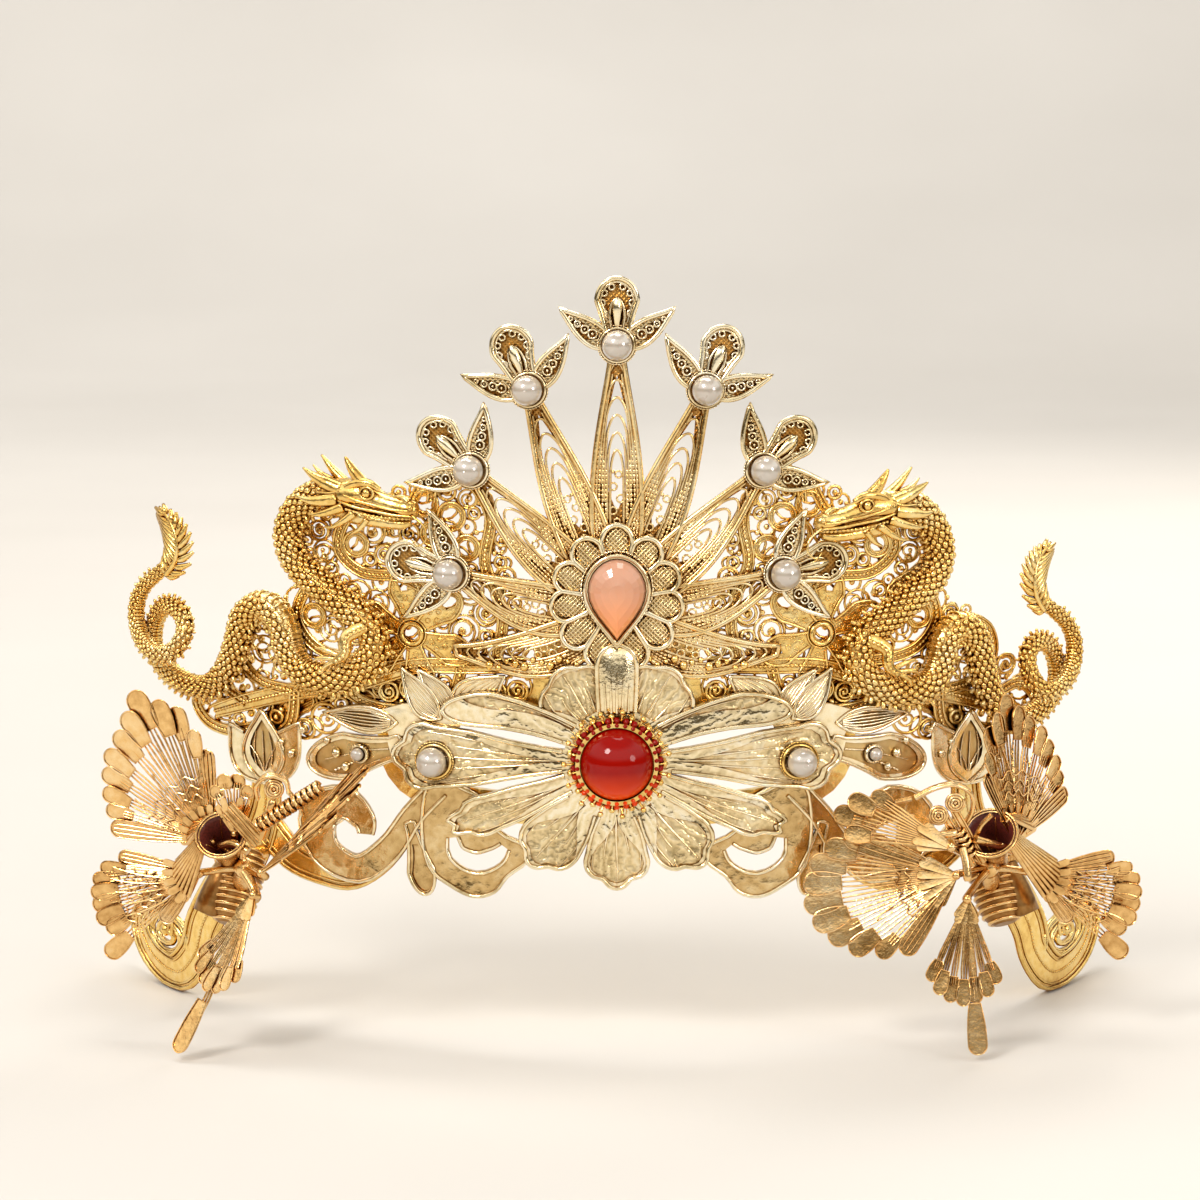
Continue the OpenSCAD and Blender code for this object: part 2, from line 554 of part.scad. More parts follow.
module pinned(left, i) {
  p = pose_of(left, i);
  t = p[1];
  translate(p[0]) rotate([0, t[0], 0]) rotate([0, 0, t[1]]) rotate([90 + t[2], 0, 0])
    rotate([0, 0, t[3]]) children();
}
module upper_wing(left) {
  color(rose) stand() right_or_left(left) pinned(left, 0)
    fan_sheet(left ? upper_rows : [for (f = upper_rows) [f[0] * right_spread, f[1] * right_share]]);
}
module lower_wing(left) {
  color(rose) stand() right_or_left(left) pinned(left, 1) fan_sheet(lower_rows);
}
module inner_wing(left) {
  color(rose) stand() right_or_left(left) pinned(left, 2)
    fan_sheet([for (f = inner_rows) [f[0] * (left ? 0.55 : 1), f[1]]]);
}
module breast_wing(left) {
  color(rose) stand() right_or_left(left) pinned(left, 3)
    fan_sheet(left ? small_rows : breast_rows, 1.2, 4.2);
}
module tail(left) {
  color(rose) stand() right_or_left(left) difference() {
    pinned(left, 4) {
      fan_sheet(tail_rows, 0.9, 2.9, 2);
      fan_sheet([[left ? -4 : 5, 32]], 1.2, 2.8, 1);
    }
    translate([0, -60, -lift - 40]) cube([120, 120, 40]);
  }
}
// Round rod between two points
module rod(a, b, r0, r1) {
  v = b - a;
  translate(a) rotate([0, acos(v[2] / norm(v)), atan2(v[1], v[0])])
    cylinder(r1 = r0, r2 = r1, h = norm(v), $fn = 20);
}
// The point that lies h behind the pin of a fan
function behind(p, h) = let (
  t = p[1], y = h * cos(t[2]), z = h * sin(t[2]), x2 = -y * sin(t[1]), y2 = y * cos(t[1]))
  p[0] + [x2 * cos(t[0]) + z * sin(t[0]), y2, z * cos(t[0]) - x2 * sin(t[0])];
// Belly of stacked ribs with a dark cup, neck bar, head with crest and coil eyes
belly_at = [65, 12.8, 20.5];
belly_tilt = [-24, -14, 0];
hub_at = [63.4, 6.4, 25];
head_at = [55.4, 0.8, 37.4];
crest_rows = [ // x, z, width
  [-1, 0, 1.6], [-2.6, 3, 1.5], [0.4, 4.8, 1.6], [4, 3.4, 1.7], [4.4, -0.6, 1.4], [2, -2.6, 1]
];
module phoenix_body(left) {
  color(gold) stand() right_or_left(left) {
    difference() {
      translate(belly_at) rotate(belly_tilt) rotate_extrude($fn = 48) polygon(concat(
        [[0, -7]],
        [for (i = [0:6]) for (j = [0, 1])
          [belly_d / 2 - 0.04 * pow(i - 3, 2) - 0.5 * j, -7 + 2 * i + 1.9 * j]],
        [[0, 6.9]]));
      translate(belly_at) rotate(belly_tilt) translate([0, 0, 3])
        cylinder(d = belly_d - 3.2, h = 9, $fn = 32);
    }
    on_curve(61, 25, l_panel) cylinder(r = 1.3, h = 11, $fn = 20);
    rod([64.4, 11, 20], hub_at, 1.6, 1.5);
    translate(hub_at) sphere(r = 1.9, $fn = 24);
    for (i = [0:4]) let (p = pose_of(left, i)) {
      rod(behind(p, 0.25), behind(p, 2.4), 1.1, 1.1);
      rod(behind(p, 2), hub_at, 0.9, 1.1);
    }
    rod(hub_at, head_at - [0, 0.4, 0], 1.3, 1.1);
    translate(head_at) {
      sphere(r = 1.9, $fn = 24);
      for (e = [[-1.3, 0.2], [1.3, 1.3]]) translate([e[0], -1, e[1]]) rotate([90, 0, 0])
        cylinder(r = 1.2, h = 1.4, $fn = 20);
      translate([0, 0.4, 0]) rotate([90, 0, 0]) linear_extrude(height = 1) merged()
        polygon(bar(crest_rows, 3));
      rod([-0.6, -0.6, -0.6], [-2, -2.6, -3.6], 1, 0.35);
    }
  }
}

base_frame();
side_panel(true);  // side_panel_left
side_panel(false);  // side_panel_right
lower_leaf(true);  // lower_leaf_left
lower_leaf(false);  // lower_leaf_right
flower_plate();
agate_bezel();
agate();
plate_pearl(true);  // plate_pearl_left
plate_pearl(false);  // plate_pearl_right
fan();
rosette();
drop_bezel();
drop_stone();
tip_flower(1);  // tip_flower_1
tip_flower(2);  // tip_flower_2
tip_flower(3);  // tip_flower_3
tip_flower(4);  // tip_flower_4
tip_flower(5);  // tip_flower_5
tip_flower(6);  // tip_flower_6
tip_flower(7);  // tip_flower_7
tip_pearl(1);  // tip_pearl_1
tip_pearl(2);  // tip_pearl_2
tip_pearl(3);  // tip_pearl_3
tip_pearl(4);  // tip_pearl_4
tip_pearl(5);  // tip_pearl_5
tip_pearl(6);  // tip_pearl_6
tip_pearl(7);  // tip_pearl_7
bud_spray(true);  // bud_spray_left
bud_spray(false);  // bud_spray_right
lotus(true);  // lotus_left
lotus(false);  // lotus_right
small_pearl(true);  // small_pearl_left
small_pearl(false);  // small_pearl_right
dragon(true);  // dragon_left
dragon(false);  // dragon_right
phoenix_body(true);  // phoenix_body_left
phoenix_body(false);  // phoenix_body_right
upper_wing(true);  // upper_wing_left
upper_wing(false);  // upper_wing_right
lower_wing(true);  // lower_wing_left
lower_wing(false);  // lower_wing_right
inner_wing(true);  // inner_wing_left
inner_wing(false);  // inner_wing_right
breast_wing(true);  // breast_wing_left
breast_wing(false);  // breast_wing_right
tail(true);  // tail_left
tail(false);  // tail_right
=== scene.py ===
import math
import random

import bmesh
import bpy
from mathutils import Matrix, Vector


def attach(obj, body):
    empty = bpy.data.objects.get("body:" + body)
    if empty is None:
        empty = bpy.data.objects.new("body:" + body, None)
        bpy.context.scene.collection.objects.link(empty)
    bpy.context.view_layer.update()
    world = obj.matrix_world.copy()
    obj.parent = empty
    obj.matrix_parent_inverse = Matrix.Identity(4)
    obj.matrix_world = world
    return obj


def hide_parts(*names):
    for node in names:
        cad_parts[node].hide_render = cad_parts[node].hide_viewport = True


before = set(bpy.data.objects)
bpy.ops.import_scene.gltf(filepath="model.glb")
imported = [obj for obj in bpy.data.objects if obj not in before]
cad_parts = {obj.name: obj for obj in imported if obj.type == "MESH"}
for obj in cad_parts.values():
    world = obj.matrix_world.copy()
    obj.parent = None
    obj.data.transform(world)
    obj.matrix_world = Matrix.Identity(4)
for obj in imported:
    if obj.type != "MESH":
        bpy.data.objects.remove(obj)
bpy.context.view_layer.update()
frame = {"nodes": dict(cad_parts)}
nodes = frame["nodes"]
mm = 0.001
hands = (("Right", 1), ("Left", -1))

# The same layout as the solids: plates bent round a head curve, in layers. Millimetres.
crown = {
    "headRadius": 95.0,
    "depthMid": 24.9,
    "lift": 4.5,
    "frameThickness": 1.4,
    "sheetThickness": 0.9,
    "plateThickness": 1.2,
    "gap": 0.2,
    "plateHeight": 45.3,
    "fanHeight": 70.0,
    "dropHeight": 72.6,
}
frameTop = crown["frameThickness"]
panelLayer = frameTop + crown["gap"]
panelTop = panelLayer + crown["sheetThickness"]
leafLayer = panelTop + crown["gap"]
leafTop = leafLayer + crown["sheetThickness"]
plateLayer = leafTop + crown["gap"]
plateTop = plateLayer + crown["plateThickness"]
topLayer = plateTop + crown["gap"]
tipTop = plateLayer + crown["sheetThickness"]
tipLayer = tipTop + crown["gap"]

# camera at the photograph's angle, a little above the floor
camera = {"distance": 650.0, "elevation": 8.0, "aim": (-2.8, 0.0, 71.8), "seenWidth": 200.0, "sensor": 36.0}


def addCamera():
    aim = (Vector(camera["aim"]) + Vector((0, -crown["depthMid"], crown["lift"]))) * mm
    tilt = math.radians(camera["elevation"])
    back = Vector((0, -math.cos(tilt), math.sin(tilt)))
    data = bpy.data.cameras.new("camera")
    data.sensor_width = camera["sensor"]
    data.lens = camera["sensor"] * camera["distance"] / camera["seenWidth"]
    data.clip_start, data.clip_end = 0.01, 20
    eye = bpy.data.objects.new("camera", data)
    eye.location = aim + back * camera["distance"] * mm
    eye.rotation_euler = (-back).to_track_quat("-Z", "Y").to_euler()
    bpy.context.scene.collection.objects.link(eye)
    bpy.context.scene.camera = eye
    print("camera is set")


addCamera()


# materials: every one starts from the same small kit of nodes
class NodeKit:
    def __init__(self, tree):
        self.tree = tree

    def add(self, kind, inputs=None, **settings):
        node = self.tree.nodes.new(kind)
        for key, value in settings.items():
            setattr(node, key, value)
        for key, value in (inputs or {}).items():
            self.put(value, node.inputs[key])
        return node

    def put(self, value, socket):
        if isinstance(value, bpy.types.NodeSocket):
            self.tree.links.new(value, socket)
        else:
            socket.default_value = value

    def math(self, operation, *values):
        return self.add("ShaderNodeMath", dict(enumerate(values)), operation=operation).outputs[0]

    def ramp(self, factor, stops):
        node = self.add("ShaderNodeValToRGB", {"Fac": factor})
        elements = node.color_ramp.elements
        while len(elements) < len(stops):
            elements.new(0.5)
        for element, (at, colour) in zip(elements, stops):
            element.position, element.color = at, (*colour, 1)
        return node.outputs["Color"]

    def mixed(self, factor, first, second, blend="MIX"):
        inputs = {0: factor, 6: first, 7: second}
        return self.add("ShaderNodeMix", inputs, data_type="RGBA", blend_type=blend).outputs[2]


class Shade(NodeKit):
    def __init__(self, name):
        self.material = bpy.data.materials.new(name)
        self.material.use_nodes = True
        super().__init__(self.material.node_tree)
        self.shader = self.tree.nodes["Principled BSDF"]
        self.place = self.add("ShaderNodeTexCoord").outputs["Object"]

    def wear(self, values):  # on the shader's own sockets
        for key, value in values.items():
            self.put(value, self.shader.inputs[key])

    def noise(self, scale, detail=3.0, rough=0.55):
        inputs = {"Vector": self.place, "Scale": scale, "Detail": detail, "Roughness": rough}
        return self.add("ShaderNodeTexNoise", inputs).outputs["Fac"]

    def cells(self, scale):
        return self.add("ShaderNodeTexVoronoi", {"Vector": self.place, "Scale": scale}).outputs["Distance"]

    def between(self, factor, low, high, fromLow=0.3, fromHigh=0.7):
        inputs = {"Value": factor, "From Min": fromLow, "From Max": fromHigh, "To Min": low, "To Max": high}
        return self.add("ShaderNodeMapRange", inputs).outputs["Result"]

    def blended(self, first, second, share):  # so much of the second, the rest of the first
        return self.math("ADD", self.math("MULTIPLY", first, 1 - share), self.math("MULTIPLY", second, share))

    def tinted(self, colour, tint):
        return self.mixed(1.0, colour, tint, "MULTIPLY")

    def bump(self, height, strength, distance):
        inputs = {"Strength": strength, "Distance": distance, "Height": height}
        self.wear({"Normal": self.add("ShaderNodeBump", inputs).outputs["Normal"]})

    def openness(self, reach):  # 0 in a crevice, 1 in the open
        return self.add("ShaderNodeAmbientOcclusion", {"Distance": reach}, samples=4).outputs["AO"]

    def axes(self):
        return tuple(self.add("ShaderNodeSeparateXYZ", {0: self.place}).outputs)

    def raised(self, layerTop, depth):  # 0 on a sunk floor, 1 on the face and on the back of a sheet
        x, y, z = self.axes()
        inward = self.math("SUBTRACT", y, (crown["headRadius"] - crown["depthMid"]) * mm)
        squares = [self.math("MULTIPLY", way, way) for way in (x, inward)]
        out = self.math("SQRT", self.math("ADD", *squares))
        face = (crown["headRadius"] + layerTop) * mm
        low, soft = sunkFloor["under"] * mm, sunkFloor["soft"] * mm
        front = self.between(out, 0.0, 1.0, face - low - soft, face - low)
        back = self.between(out, 1.0, 0.0, face - depth * mm, face - depth * mm + soft)
        return self.math("MAXIMUM", front, back)


white = (1.0, 1.0, 1.0)
sunkFloor = {"under": 0.16, "soft": 0.1, "dull": 0.16, "smoothFace": 0.8}
golds = {  # dark colour, body colour, bright colour, roughness range; a relief paints shade in its grooves with the dark colour
    "richGold": [(0.62, 0.34, 0.07), (0.94, 0.65, 0.21), (1.0, 0.84, 0.44), (0.13, 0.28)],
    "paleGold": [(0.54, 0.34, 0.11), (0.92, 0.68, 0.32), (1.0, 0.88, 0.58), (0.12, 0.26)],
    "brightGold": [(0.52, 0.40, 0.19), (0.95, 0.81, 0.52), (1.0, 0.95, 0.77), (0.08, 0.19)],
    "plateGold": [(0.46, 0.35, 0.17), (0.90, 0.76, 0.48), (1.0, 0.94, 0.76), (0.08, 0.19)],
    "deepGold": [(0.32, 0.19, 0.06), (0.64, 0.44, 0.19), (0.88, 0.70, 0.40), (0.13, 0.26)],
    "roseGold": [(0.46, 0.24, 0.07), (0.86, 0.55, 0.22), (0.97, 0.75, 0.43), (0.15, 0.27)],
    # painted shade: the dark brown of the phoenix belly stands for the shade in the gaps between its ribs
    "brownGold": [(0.14, 0.06, 0.02), (0.34, 0.17, 0.05), (0.52, 0.31, 0.12), (0.26, 0.42)],
}
goldGrain = {
    "cloud": 95, "fine": 900, "rubbed": 1500, "dents": (210, 80), "stops": (0.30, 0.49, 0.68), "share": 0.3,
}
# painted shade: ambient occlusion turns crevices and the gaps between wires towards dark brown
creviceShade = {"reach": 0.9, "stops": [(0.25, (0.17, 0.065, 0.016)), (0.55, (0.66, 0.48, 0.29)), (0.82, white)]}


# floor is the colour of the painted shade on sunk floors
def goldShade(name, gold, relief=None, strength=0.35, distance=0.0003, layerTop=None, floor=white,
              swell=0.0, depth=0.88):
    shade = Shade(name)
    *colours, rough = golds[gold]
    cloud = shade.noise(goldGrain["cloud"], 4)
    fine = shade.noise(goldGrain["fine"], 2)
    height = relief(shade) if relief else shade.noise(goldGrain["rubbed"])
    tone = shade.blended(cloud, fine, goldGrain["share"])
    # painted shade and highlight: a relief darkens its grooves and lightens its ridges
    if relief:
        tone = shade.blended(tone, height, goldGrain["share"])
    colour = shade.ramp(tone, list(zip(goldGrain["stops"], colours)))
    # painted shade in crevices, multiplied into the gold
    colour = shade.tinted(colour, shade.ramp(shade.openness(creviceShade["reach"] * mm), creviceShade["stops"]))
    roughness = shade.between(cloud, *rough)
    if layerTop is not None:  # painted shade: sunk floors take the darker floor colour; they are also duller and carry the relief
        up = shade.raised(layerTop, depth)
        colour = shade.tinted(colour, shade.ramp(up, [(0.0, floor), (1.0, white)]))
        dull = sunkFloor["dull"]
        roughness = shade.math("ADD", roughness, shade.math("MULTIPLY_ADD", up, -dull, dull))
        height = shade.math("MULTIPLY", height, shade.math("MULTIPLY_ADD", up, -sunkFloor["smoothFace"], 1.0))
    full = shade.math("ADD", height, shade.math("MULTIPLY", fine, 0.2))
    if swell:  # slow dents of a sheet worked by hand
        small, large = goldGrain["dents"]
        full = shade.math("ADD", full, shade.math("MULTIPLY", shade.noise(small, 2), swell))
        full = shade.math("ADD", full, shade.math("MULTIPLY", shade.noise(large, 1), swell * 3))
    shade.wear({"Base Color": colour, "Metallic": 1.0, "Roughness": roughness})
    shade.bump(full, strength, distance)
    return shade.material


def netRelief(shade):  # fine woven wire
    x, y, z = shade.axes()
    pitch = 7600
    slants = (shade.math(way, x, z) for way in ("ADD", "SUBTRACT"))
    a, b = (shade.math("SINE", shade.math("MULTIPLY", slant, pitch)) for slant in slants)
    return shade.math("MULTIPLY_ADD", shade.math("MAXIMUM", a, b), 0.5, 0.5)


def veinRelief(shade):  # veins that run out from the middle of the plate, broken by small pits
    x, y, z = shade.axes()
    turn = shade.math("ARCTAN2", shade.math("SUBTRACT", z, plateMiddle * mm), x)
    wander = shade.math("MULTIPLY", shade.noise(260), 0.35)
    lines = shade.math("SINE", shade.math("MULTIPLY", shade.math("ADD", turn, wander), 70))
    pits = shade.noise(900, rough=0.6)
    return shade.math("ADD", shade.math("MULTIPLY_ADD", lines, 0.2, 0.3), shade.math("MULTIPLY", pits, 0.3))


def pittedRelief(shade):  # cast metal with a rubbed grain
    return shade.blended(shade.noise(700, 4, 0.65), shade.cells(650), 0.4)


def stoneShade(name, colours, rough, depth, coat, glowHeights=None, gloss=0.2, coatRough=0.03, bend=1.5):
    shade = Shade(name)
    cloud = shade.noise(70, 4)
    if glowHeights:  # painted glow: from the first colour low down to the second higher up, as light shining through the stone
        x, y, z = shade.axes()
        cloud = shade.blended(cloud, shade.between(z, 0.0, 1.0, *(height * mm for height in glowHeights)), 0.75)
    shade.wear({
        "Base Color": shade.ramp(cloud, list(zip((0.2, 0.75), colours))),
        "Roughness": shade.between(shade.noise(300, 2), rough * 0.7, rough * 1.4),
        "Specular IOR Level": gloss,
        "Subsurface Weight": depth, "Subsurface Radius": (0.003, 0.001, 0.0006), "Subsurface Scale": 0.5,
        "Coat Weight": coat, "Coat Roughness": coatRough, "Coat IOR": bend})
    shade.bump(shade.noise(500, 2), 0.03, 0.0001)
    return shade.material


plateMiddle = crown["plateHeight"] + crown["lift"]
dropMiddle = crown["dropHeight"] + crown["lift"]
swollen = {"rise": 0.35, "depth": 1.23}  # the fan's and the rosette's faces stand out from their layers
richCast = goldShade("richCast", "richGold", pittedRelief, 0.45)
richPanel = goldShade("richPanel", "richGold", pittedRelief, 0.6)
richWire = goldShade("richWire", "richGold", None, 0.15)
# the colour after a layer top is the painted shade of that sheet's sunk floors
paleNet = goldShade("paleNet", "paleGold", netRelief, 0.6, 0.0002, leafTop + swollen["rise"],
                    (0.52, 0.35, 0.17), depth=swollen["depth"])
tipNet = goldShade("tipNet", "paleGold", netRelief, 0.6, 0.0002, tipTop, (0.44, 0.29, 0.13))
rosetteNet = goldShade("rosetteNet", "paleGold", netRelief, 0.6, 0.0002, tipTop + swollen["rise"],
                       (0.40, 0.26, 0.11), depth=swollen["depth"])
domeNet = goldShade("domeNet", "deepGold", netRelief, 1.0)
paleWire = goldShade("paleWire", "brightGold", None, 0.12)
fanWire = goldShade("fanWire", "paleGold", None, 0.12)
plateGold = goldShade("plateGold", "plateGold", veinRelief, 0.7, 0.0004, plateTop,
                      (0.95, 0.90, 0.80), 1.4, 1.18)
petalGold = goldShade("petalGold", "brightGold", None, 0.3, swell=0.6)
leafGold = goldShade("leafGold", "brightGold", pittedRelief, 0.45, 0.0003, leafTop, (0.72, 0.60, 0.40), 1.8)
lowerGold = goldShade("lowerGold", "deepGold", pittedRelief, 0.5, swell=2.4)
featherGold = goldShade("featherGold", "roseGold", pittedRelief, 0.3)
wingGold = goldShade("wingGold", "roseGold", None, 0.22, swell=0.8)
dragonGold = goldShade("dragonGold", "richGold", None, 0.3)
# painted shade: the belly's dark brown, for the gaps between its ribs
bellyBrown = goldShade("bellyBrown", "brownGold", None, 0.2)
pearlSkin = stoneShade("pearlSkin", [(0.40, 0.33, 0.26), (0.49, 0.43, 0.36)], 0.3, 0.1, 1.0,
                       None, 0.9, 0.08, 2.5)
# painted glow: the agate's lower part is a bright orange-red, as light shining through it, its top a dark red
agateRed = stoneShade("agateRed", [(0.86, 0.060, 0.003), (0.28, 0.003, 0.001)], 0.05, 0.0, 0.4,
                      (plateMiddle - 6, plateMiddle + 0.5), 0.05)
# painted glow: the drop is a bright orange at the bottom, as light shining through it, turning to a dimmer mauve
# higher up
dropPink = stoneShade("dropPink", [(0.96, 0.34, 0.11), (0.60, 0.31, 0.20)], 0.08, 0.12, 0.8,
                      (dropMiddle - 8, dropMiddle + 5))


def liningShade(dark):  # rough cloth inside the cups
    shade = Shade("cupLining")
    weave = shade.cells(2600)
    colour = shade.ramp(weave, [(0.1, dark), (0.6, tuple(3.2 * c for c in dark))])
    shade.wear({"Base Color": colour, "Roughness": 0.55, "Coat Weight": 0.25})
    shade.bump(weave, 0.3, 0.0001)
    return shade.material


cupLining = liningShade((0.055, 0.008, 0.005))
nodeLooks = {
    "base_frame": richCast, "side_panel": richPanel, "lower_leaf": lowerGold, "flower_plate": plateGold,
    "agate_bezel": richWire, "agate": agateRed, "plate_pearl": pearlSkin, "fan": paleNet,
    "rosette": rosetteNet, "drop_bezel": paleWire, "drop_stone": dropPink, "tip_flower": tipNet,
    "tip_pearl": pearlSkin,
    "bud_spray": leafGold, "lotus": leafGold, "small_pearl": pearlSkin, "dragon": richCast,
    "phoenix_body": featherGold, "upper_wing": featherGold, "lower_wing": featherGold,
    "inner_wing": featherGold, "breast_wing": featherGold, "tail": featherGold,
}


def dressNodes():
    for name, node in nodes.items():
        stem = name.replace("_left", "").replace("_right", "").rstrip("_0123456789")
        node.data.materials.clear()
        node.data.materials.append(nodeLooks[stem])
    print("solids have their materials")


dressNodes()

# floor, sweep and lights
studio = {
    "floorHalf": 3.0, "sweepRadius": 0.9, "sweepAt": 1.2, "sweepSteps": 12, "wall": 2.6,
    "floorColours": [(0.3, (0.57, 0.545, 0.51)), (0.7, (0.62, 0.595, 0.56))],
    "seen": (0.80, 0.75, 0.69),
    "room": [  # height of a direction, brightness: a dim room under a wide bright ceiling
        (0.0, (0.30, 0.25, 0.19)), (0.50, (0.06, 0.05, 0.035)), (0.59, (0.12, 0.10, 0.07)),
        (0.68, (1.0, 0.96, 0.89)), (0.84, (1.12, 1.09, 1.03)), (0.92, (0.35, 0.33, 0.30))],
    "roomPower": 1.25,
    "lamps": [  # name, place, aim, size, power, colour
        ("keyLamp", (-0.55, -0.75, 0.85), (0, 0, 0.07), 0.34, 7.6, (1.0, 0.97, 0.93)),
        ("fillLamp", (0.85, -0.7, 0.4), (0, 0, 0.07), 0.35, 2.4, (1.0, 0.95, 0.90)),
        ("topLamp", (0.05, 0.05, 0.95), (0, 0, 0.06), 0.4, 2.0, (1.0, 0.98, 0.95)),
        ("rimLamp", (0.35, 0.75, 0.5), (0, 0, 0.08), 0.4, 2.5, (1.0, 0.94, 0.86)),
        ("wallLamp", (-0.6, 0.7, 1.9), (-0.3, 2.1, 0.5), 1.2, 23.0, (1.0, 0.985, 0.97)),
    ],
}


def linked(name, data):
    made = bpy.data.objects.new(name, data)
    bpy.context.scene.collection.objects.link(made)
    return made


def meshFrom(name, bm):
    mesh = bpy.data.meshes.new(name)
    bm.to_mesh(mesh)
    bm.free()
    return mesh


def addFloor():
    bm = bmesh.new()
    half, bend, start = studio["floorHalf"], studio["sweepRadius"], studio["sweepAt"]
    ends = [bm.verts.new((x, -half, 0)) for x in (-half, half)]
    grown = [bm.edges.new(ends)]
    path = [(start, 0.0)]
    for i in range(1, studio["sweepSteps"] + 1):
        a = math.pi / 2 * i / studio["sweepSteps"]
        path.append((start + bend * math.sin(a), bend * (1 - math.cos(a))))
    path.append((start + bend, studio["wall"]))
    for y, z in path:
        made = bmesh.ops.extrude_edge_only(bm, edges=grown)["geom"]
        grown = [g for g in made if isinstance(g, bmesh.types.BMEdge)]
        for vert in [g for g in made if isinstance(g, bmesh.types.BMVert)]:
            vert.co.y, vert.co.z = y, z
    bmesh.ops.recalc_face_normals(bm, faces=bm.faces)
    mesh = meshFrom("studioFloor", bm)
    mesh.shade_smooth()
    shade = Shade("paleFloor")
    shade.wear({"Base Color": shade.ramp(shade.noise(3), studio["floorColours"]), "Roughness": 0.75})
    shade.bump(shade.noise(900, 2), 0.04, 0.0003)
    mesh.materials.append(shade.material)
    linked("studioFloor", mesh)
    print("floor is laid")


def addLights():
    for name, place, aim, size, power, colour in studio["lamps"]:
        data = bpy.data.lights.new(name, "AREA")
        data.shape = "DISK"
        data.size, data.energy, data.color = size, power, colour
        lamp = linked(name, data)
        lamp.location = place
        lamp.rotation_euler = (Vector(aim) - Vector(place)).to_track_quat("-Z", "Y").to_euler()
    world = bpy.data.worlds.new("softRoom")
    world.use_nodes = True
    kit = NodeKit(world.node_tree)
    way = kit.add("ShaderNodeSeparateXYZ", {0: kit.add("ShaderNodeTexCoord").outputs["Generated"]})
    room = kit.ramp(kit.math("MULTIPLY_ADD", way.outputs[2], 0.5, 0.5), studio["room"])
    byCamera = kit.add("ShaderNodeLightPath").outputs["Is Camera Ray"]
    seen = kit.mixed(byCamera, room, (*studio["seen"], 1))  # the camera itself sees a plain pale room
    background = world.node_tree.nodes["Background"]
    kit.put(seen, background.inputs["Color"])
    kit.put(studio["roomPower"], background.inputs["Strength"])
    bpy.context.scene.world = world
    bpy.context.scene.view_settings.view_transform = "Standard"
    print("lights are set")


addFloor()
addLights()


# outlines on the front view, repeated from the solids; x to the right, z up, millimetres
def arc4(a, b, c, d, t):
    bend, twist = 2 * a - 5 * b + 4 * c - d, 3 * b - a - 3 * c + d
    return 0.5 * (2 * b + (c - a) * t + bend * t * t + twist * t ** 3)


def curveThrough(padded, steps):  # padded holds one row more before the first and after the last
    out = []
    for four in zip(padded, padded[1:], padded[2:], padded[3:]):
        out += [tuple(arc4(*values, j / steps) for values in zip(*four)) for j in range(steps)]
    return out


def openCurve(rows, steps):
    return curveThrough([rows[0], *rows, rows[-1]], steps) + [tuple(rows[-1])]


def loopCurve(rows, steps):
    return curveThrough([rows[-1], *rows, *rows[:2]], steps)


def petalLine(length, root, width, widest, bend=0.0, lobes=1, dip=0.0):
    side = [(length * widest * t, (root + (width - root) * t ** 1.7) / 2) for t in upTo(5)[:-1]]
    end = []
    for i in range(13):
        a = math.radians(90 - 15 * i)
        q = 1 - dip * (1 - abs(math.sin((a + math.pi / 2) * lobes)))
        end.append((length * widest + length * (1 - widest) * math.cos(a) * q, width / 2 * math.sin(a) * q))
    back = [(x, -y) for x, y in reversed(side)]
    return [(x, y + bend * x * x / length) for x, y in side + end + back]


def leafLine(length, width, bend=0.0):
    up = [(length * t, width / 2 * (math.sin(math.pi * t ** 0.8) + 0.12 * (1 - t))) for t in upTo(7)]
    down = [(x, -y) for x, y in reversed(up[:-1])]
    return [(x, y + bend * x * x / length) for x, y in up + down]


def pearLine(width, length, count=28):
    out = []
    for a in compass(count):
        s = (1 - math.cos(a)) / 2
        half = width / 2 * math.sin(a) * (1 - s ** 2.2 * 0.92) * (1.12 - 0.12 * math.cos(a))
        out.append((half, width / 2 - length * s))
    return out


def upTo(count):  # even shares from 0 to 1
    return [i / count for i in range(count + 1)]


def compass(count):  # even angles round a circle
    return [2 * math.pi * i / count for i in range(count)]


def ringLine(x, z, radius, count):
    return [(x + radius * math.cos(a), z + radius * math.sin(a)) for a in compass(count)]


def turned(points, degrees, at=(0, 0)):
    c, s = math.cos(math.radians(degrees)), math.sin(math.radians(degrees))
    return [(at[0] + x * c - y * s, at[1] + x * s + y * c) for x, y in points]


def spot(x, y, degrees, at):
    return turned([(x, y)], degrees, at)[0]


def beside(x, z, before, after, distance):  # a point moved to the left of the way from one to another
    h = math.atan2(after[1] - before[1], after[0] - before[0])
    return x - math.sin(h) * distance, z + math.cos(h) * distance


def shifted(points, distance):  # a closed outline, sideways
    count = len(points)
    return [beside(*point, points[i - 1], points[(i + 1) % count], distance)
            for i, point in enumerate(points)]


def insetPetal(inset, *shape):
    return shifted(loopCurve(petalLine(*shape), 2), -inset)


def insetLeaf(inset, *shape):
    return shifted(loopCurve(leafLine(*shape), 2), -inset)


def barEdges(rows, steps, inset):
    line = openCurve(rows, steps)
    edges = [], []
    for i, (x, z, width) in enumerate(line):
        before, after = line[max(i - 1, 0)], line[min(i + 1, len(line) - 1)]
        half = max(width / 2 - inset, 0.1)
        for edge, distance in zip(edges, (half, -half)):
            edge.append(beside(x, z, before, after, distance))
    return edges


def shellPoint(x, z, layer):
    r = crown["headRadius"] + layer
    y = crown["headRadius"] - math.sqrt(r * r - x * x) - crown["depthMid"]
    return Vector((x, y, z + crown["lift"])) * mm


def outwardAt(x, layer):
    r = crown["headRadius"] + layer
    return Vector((x / r, -math.sqrt(1 - x * x / (r * r)), 0))


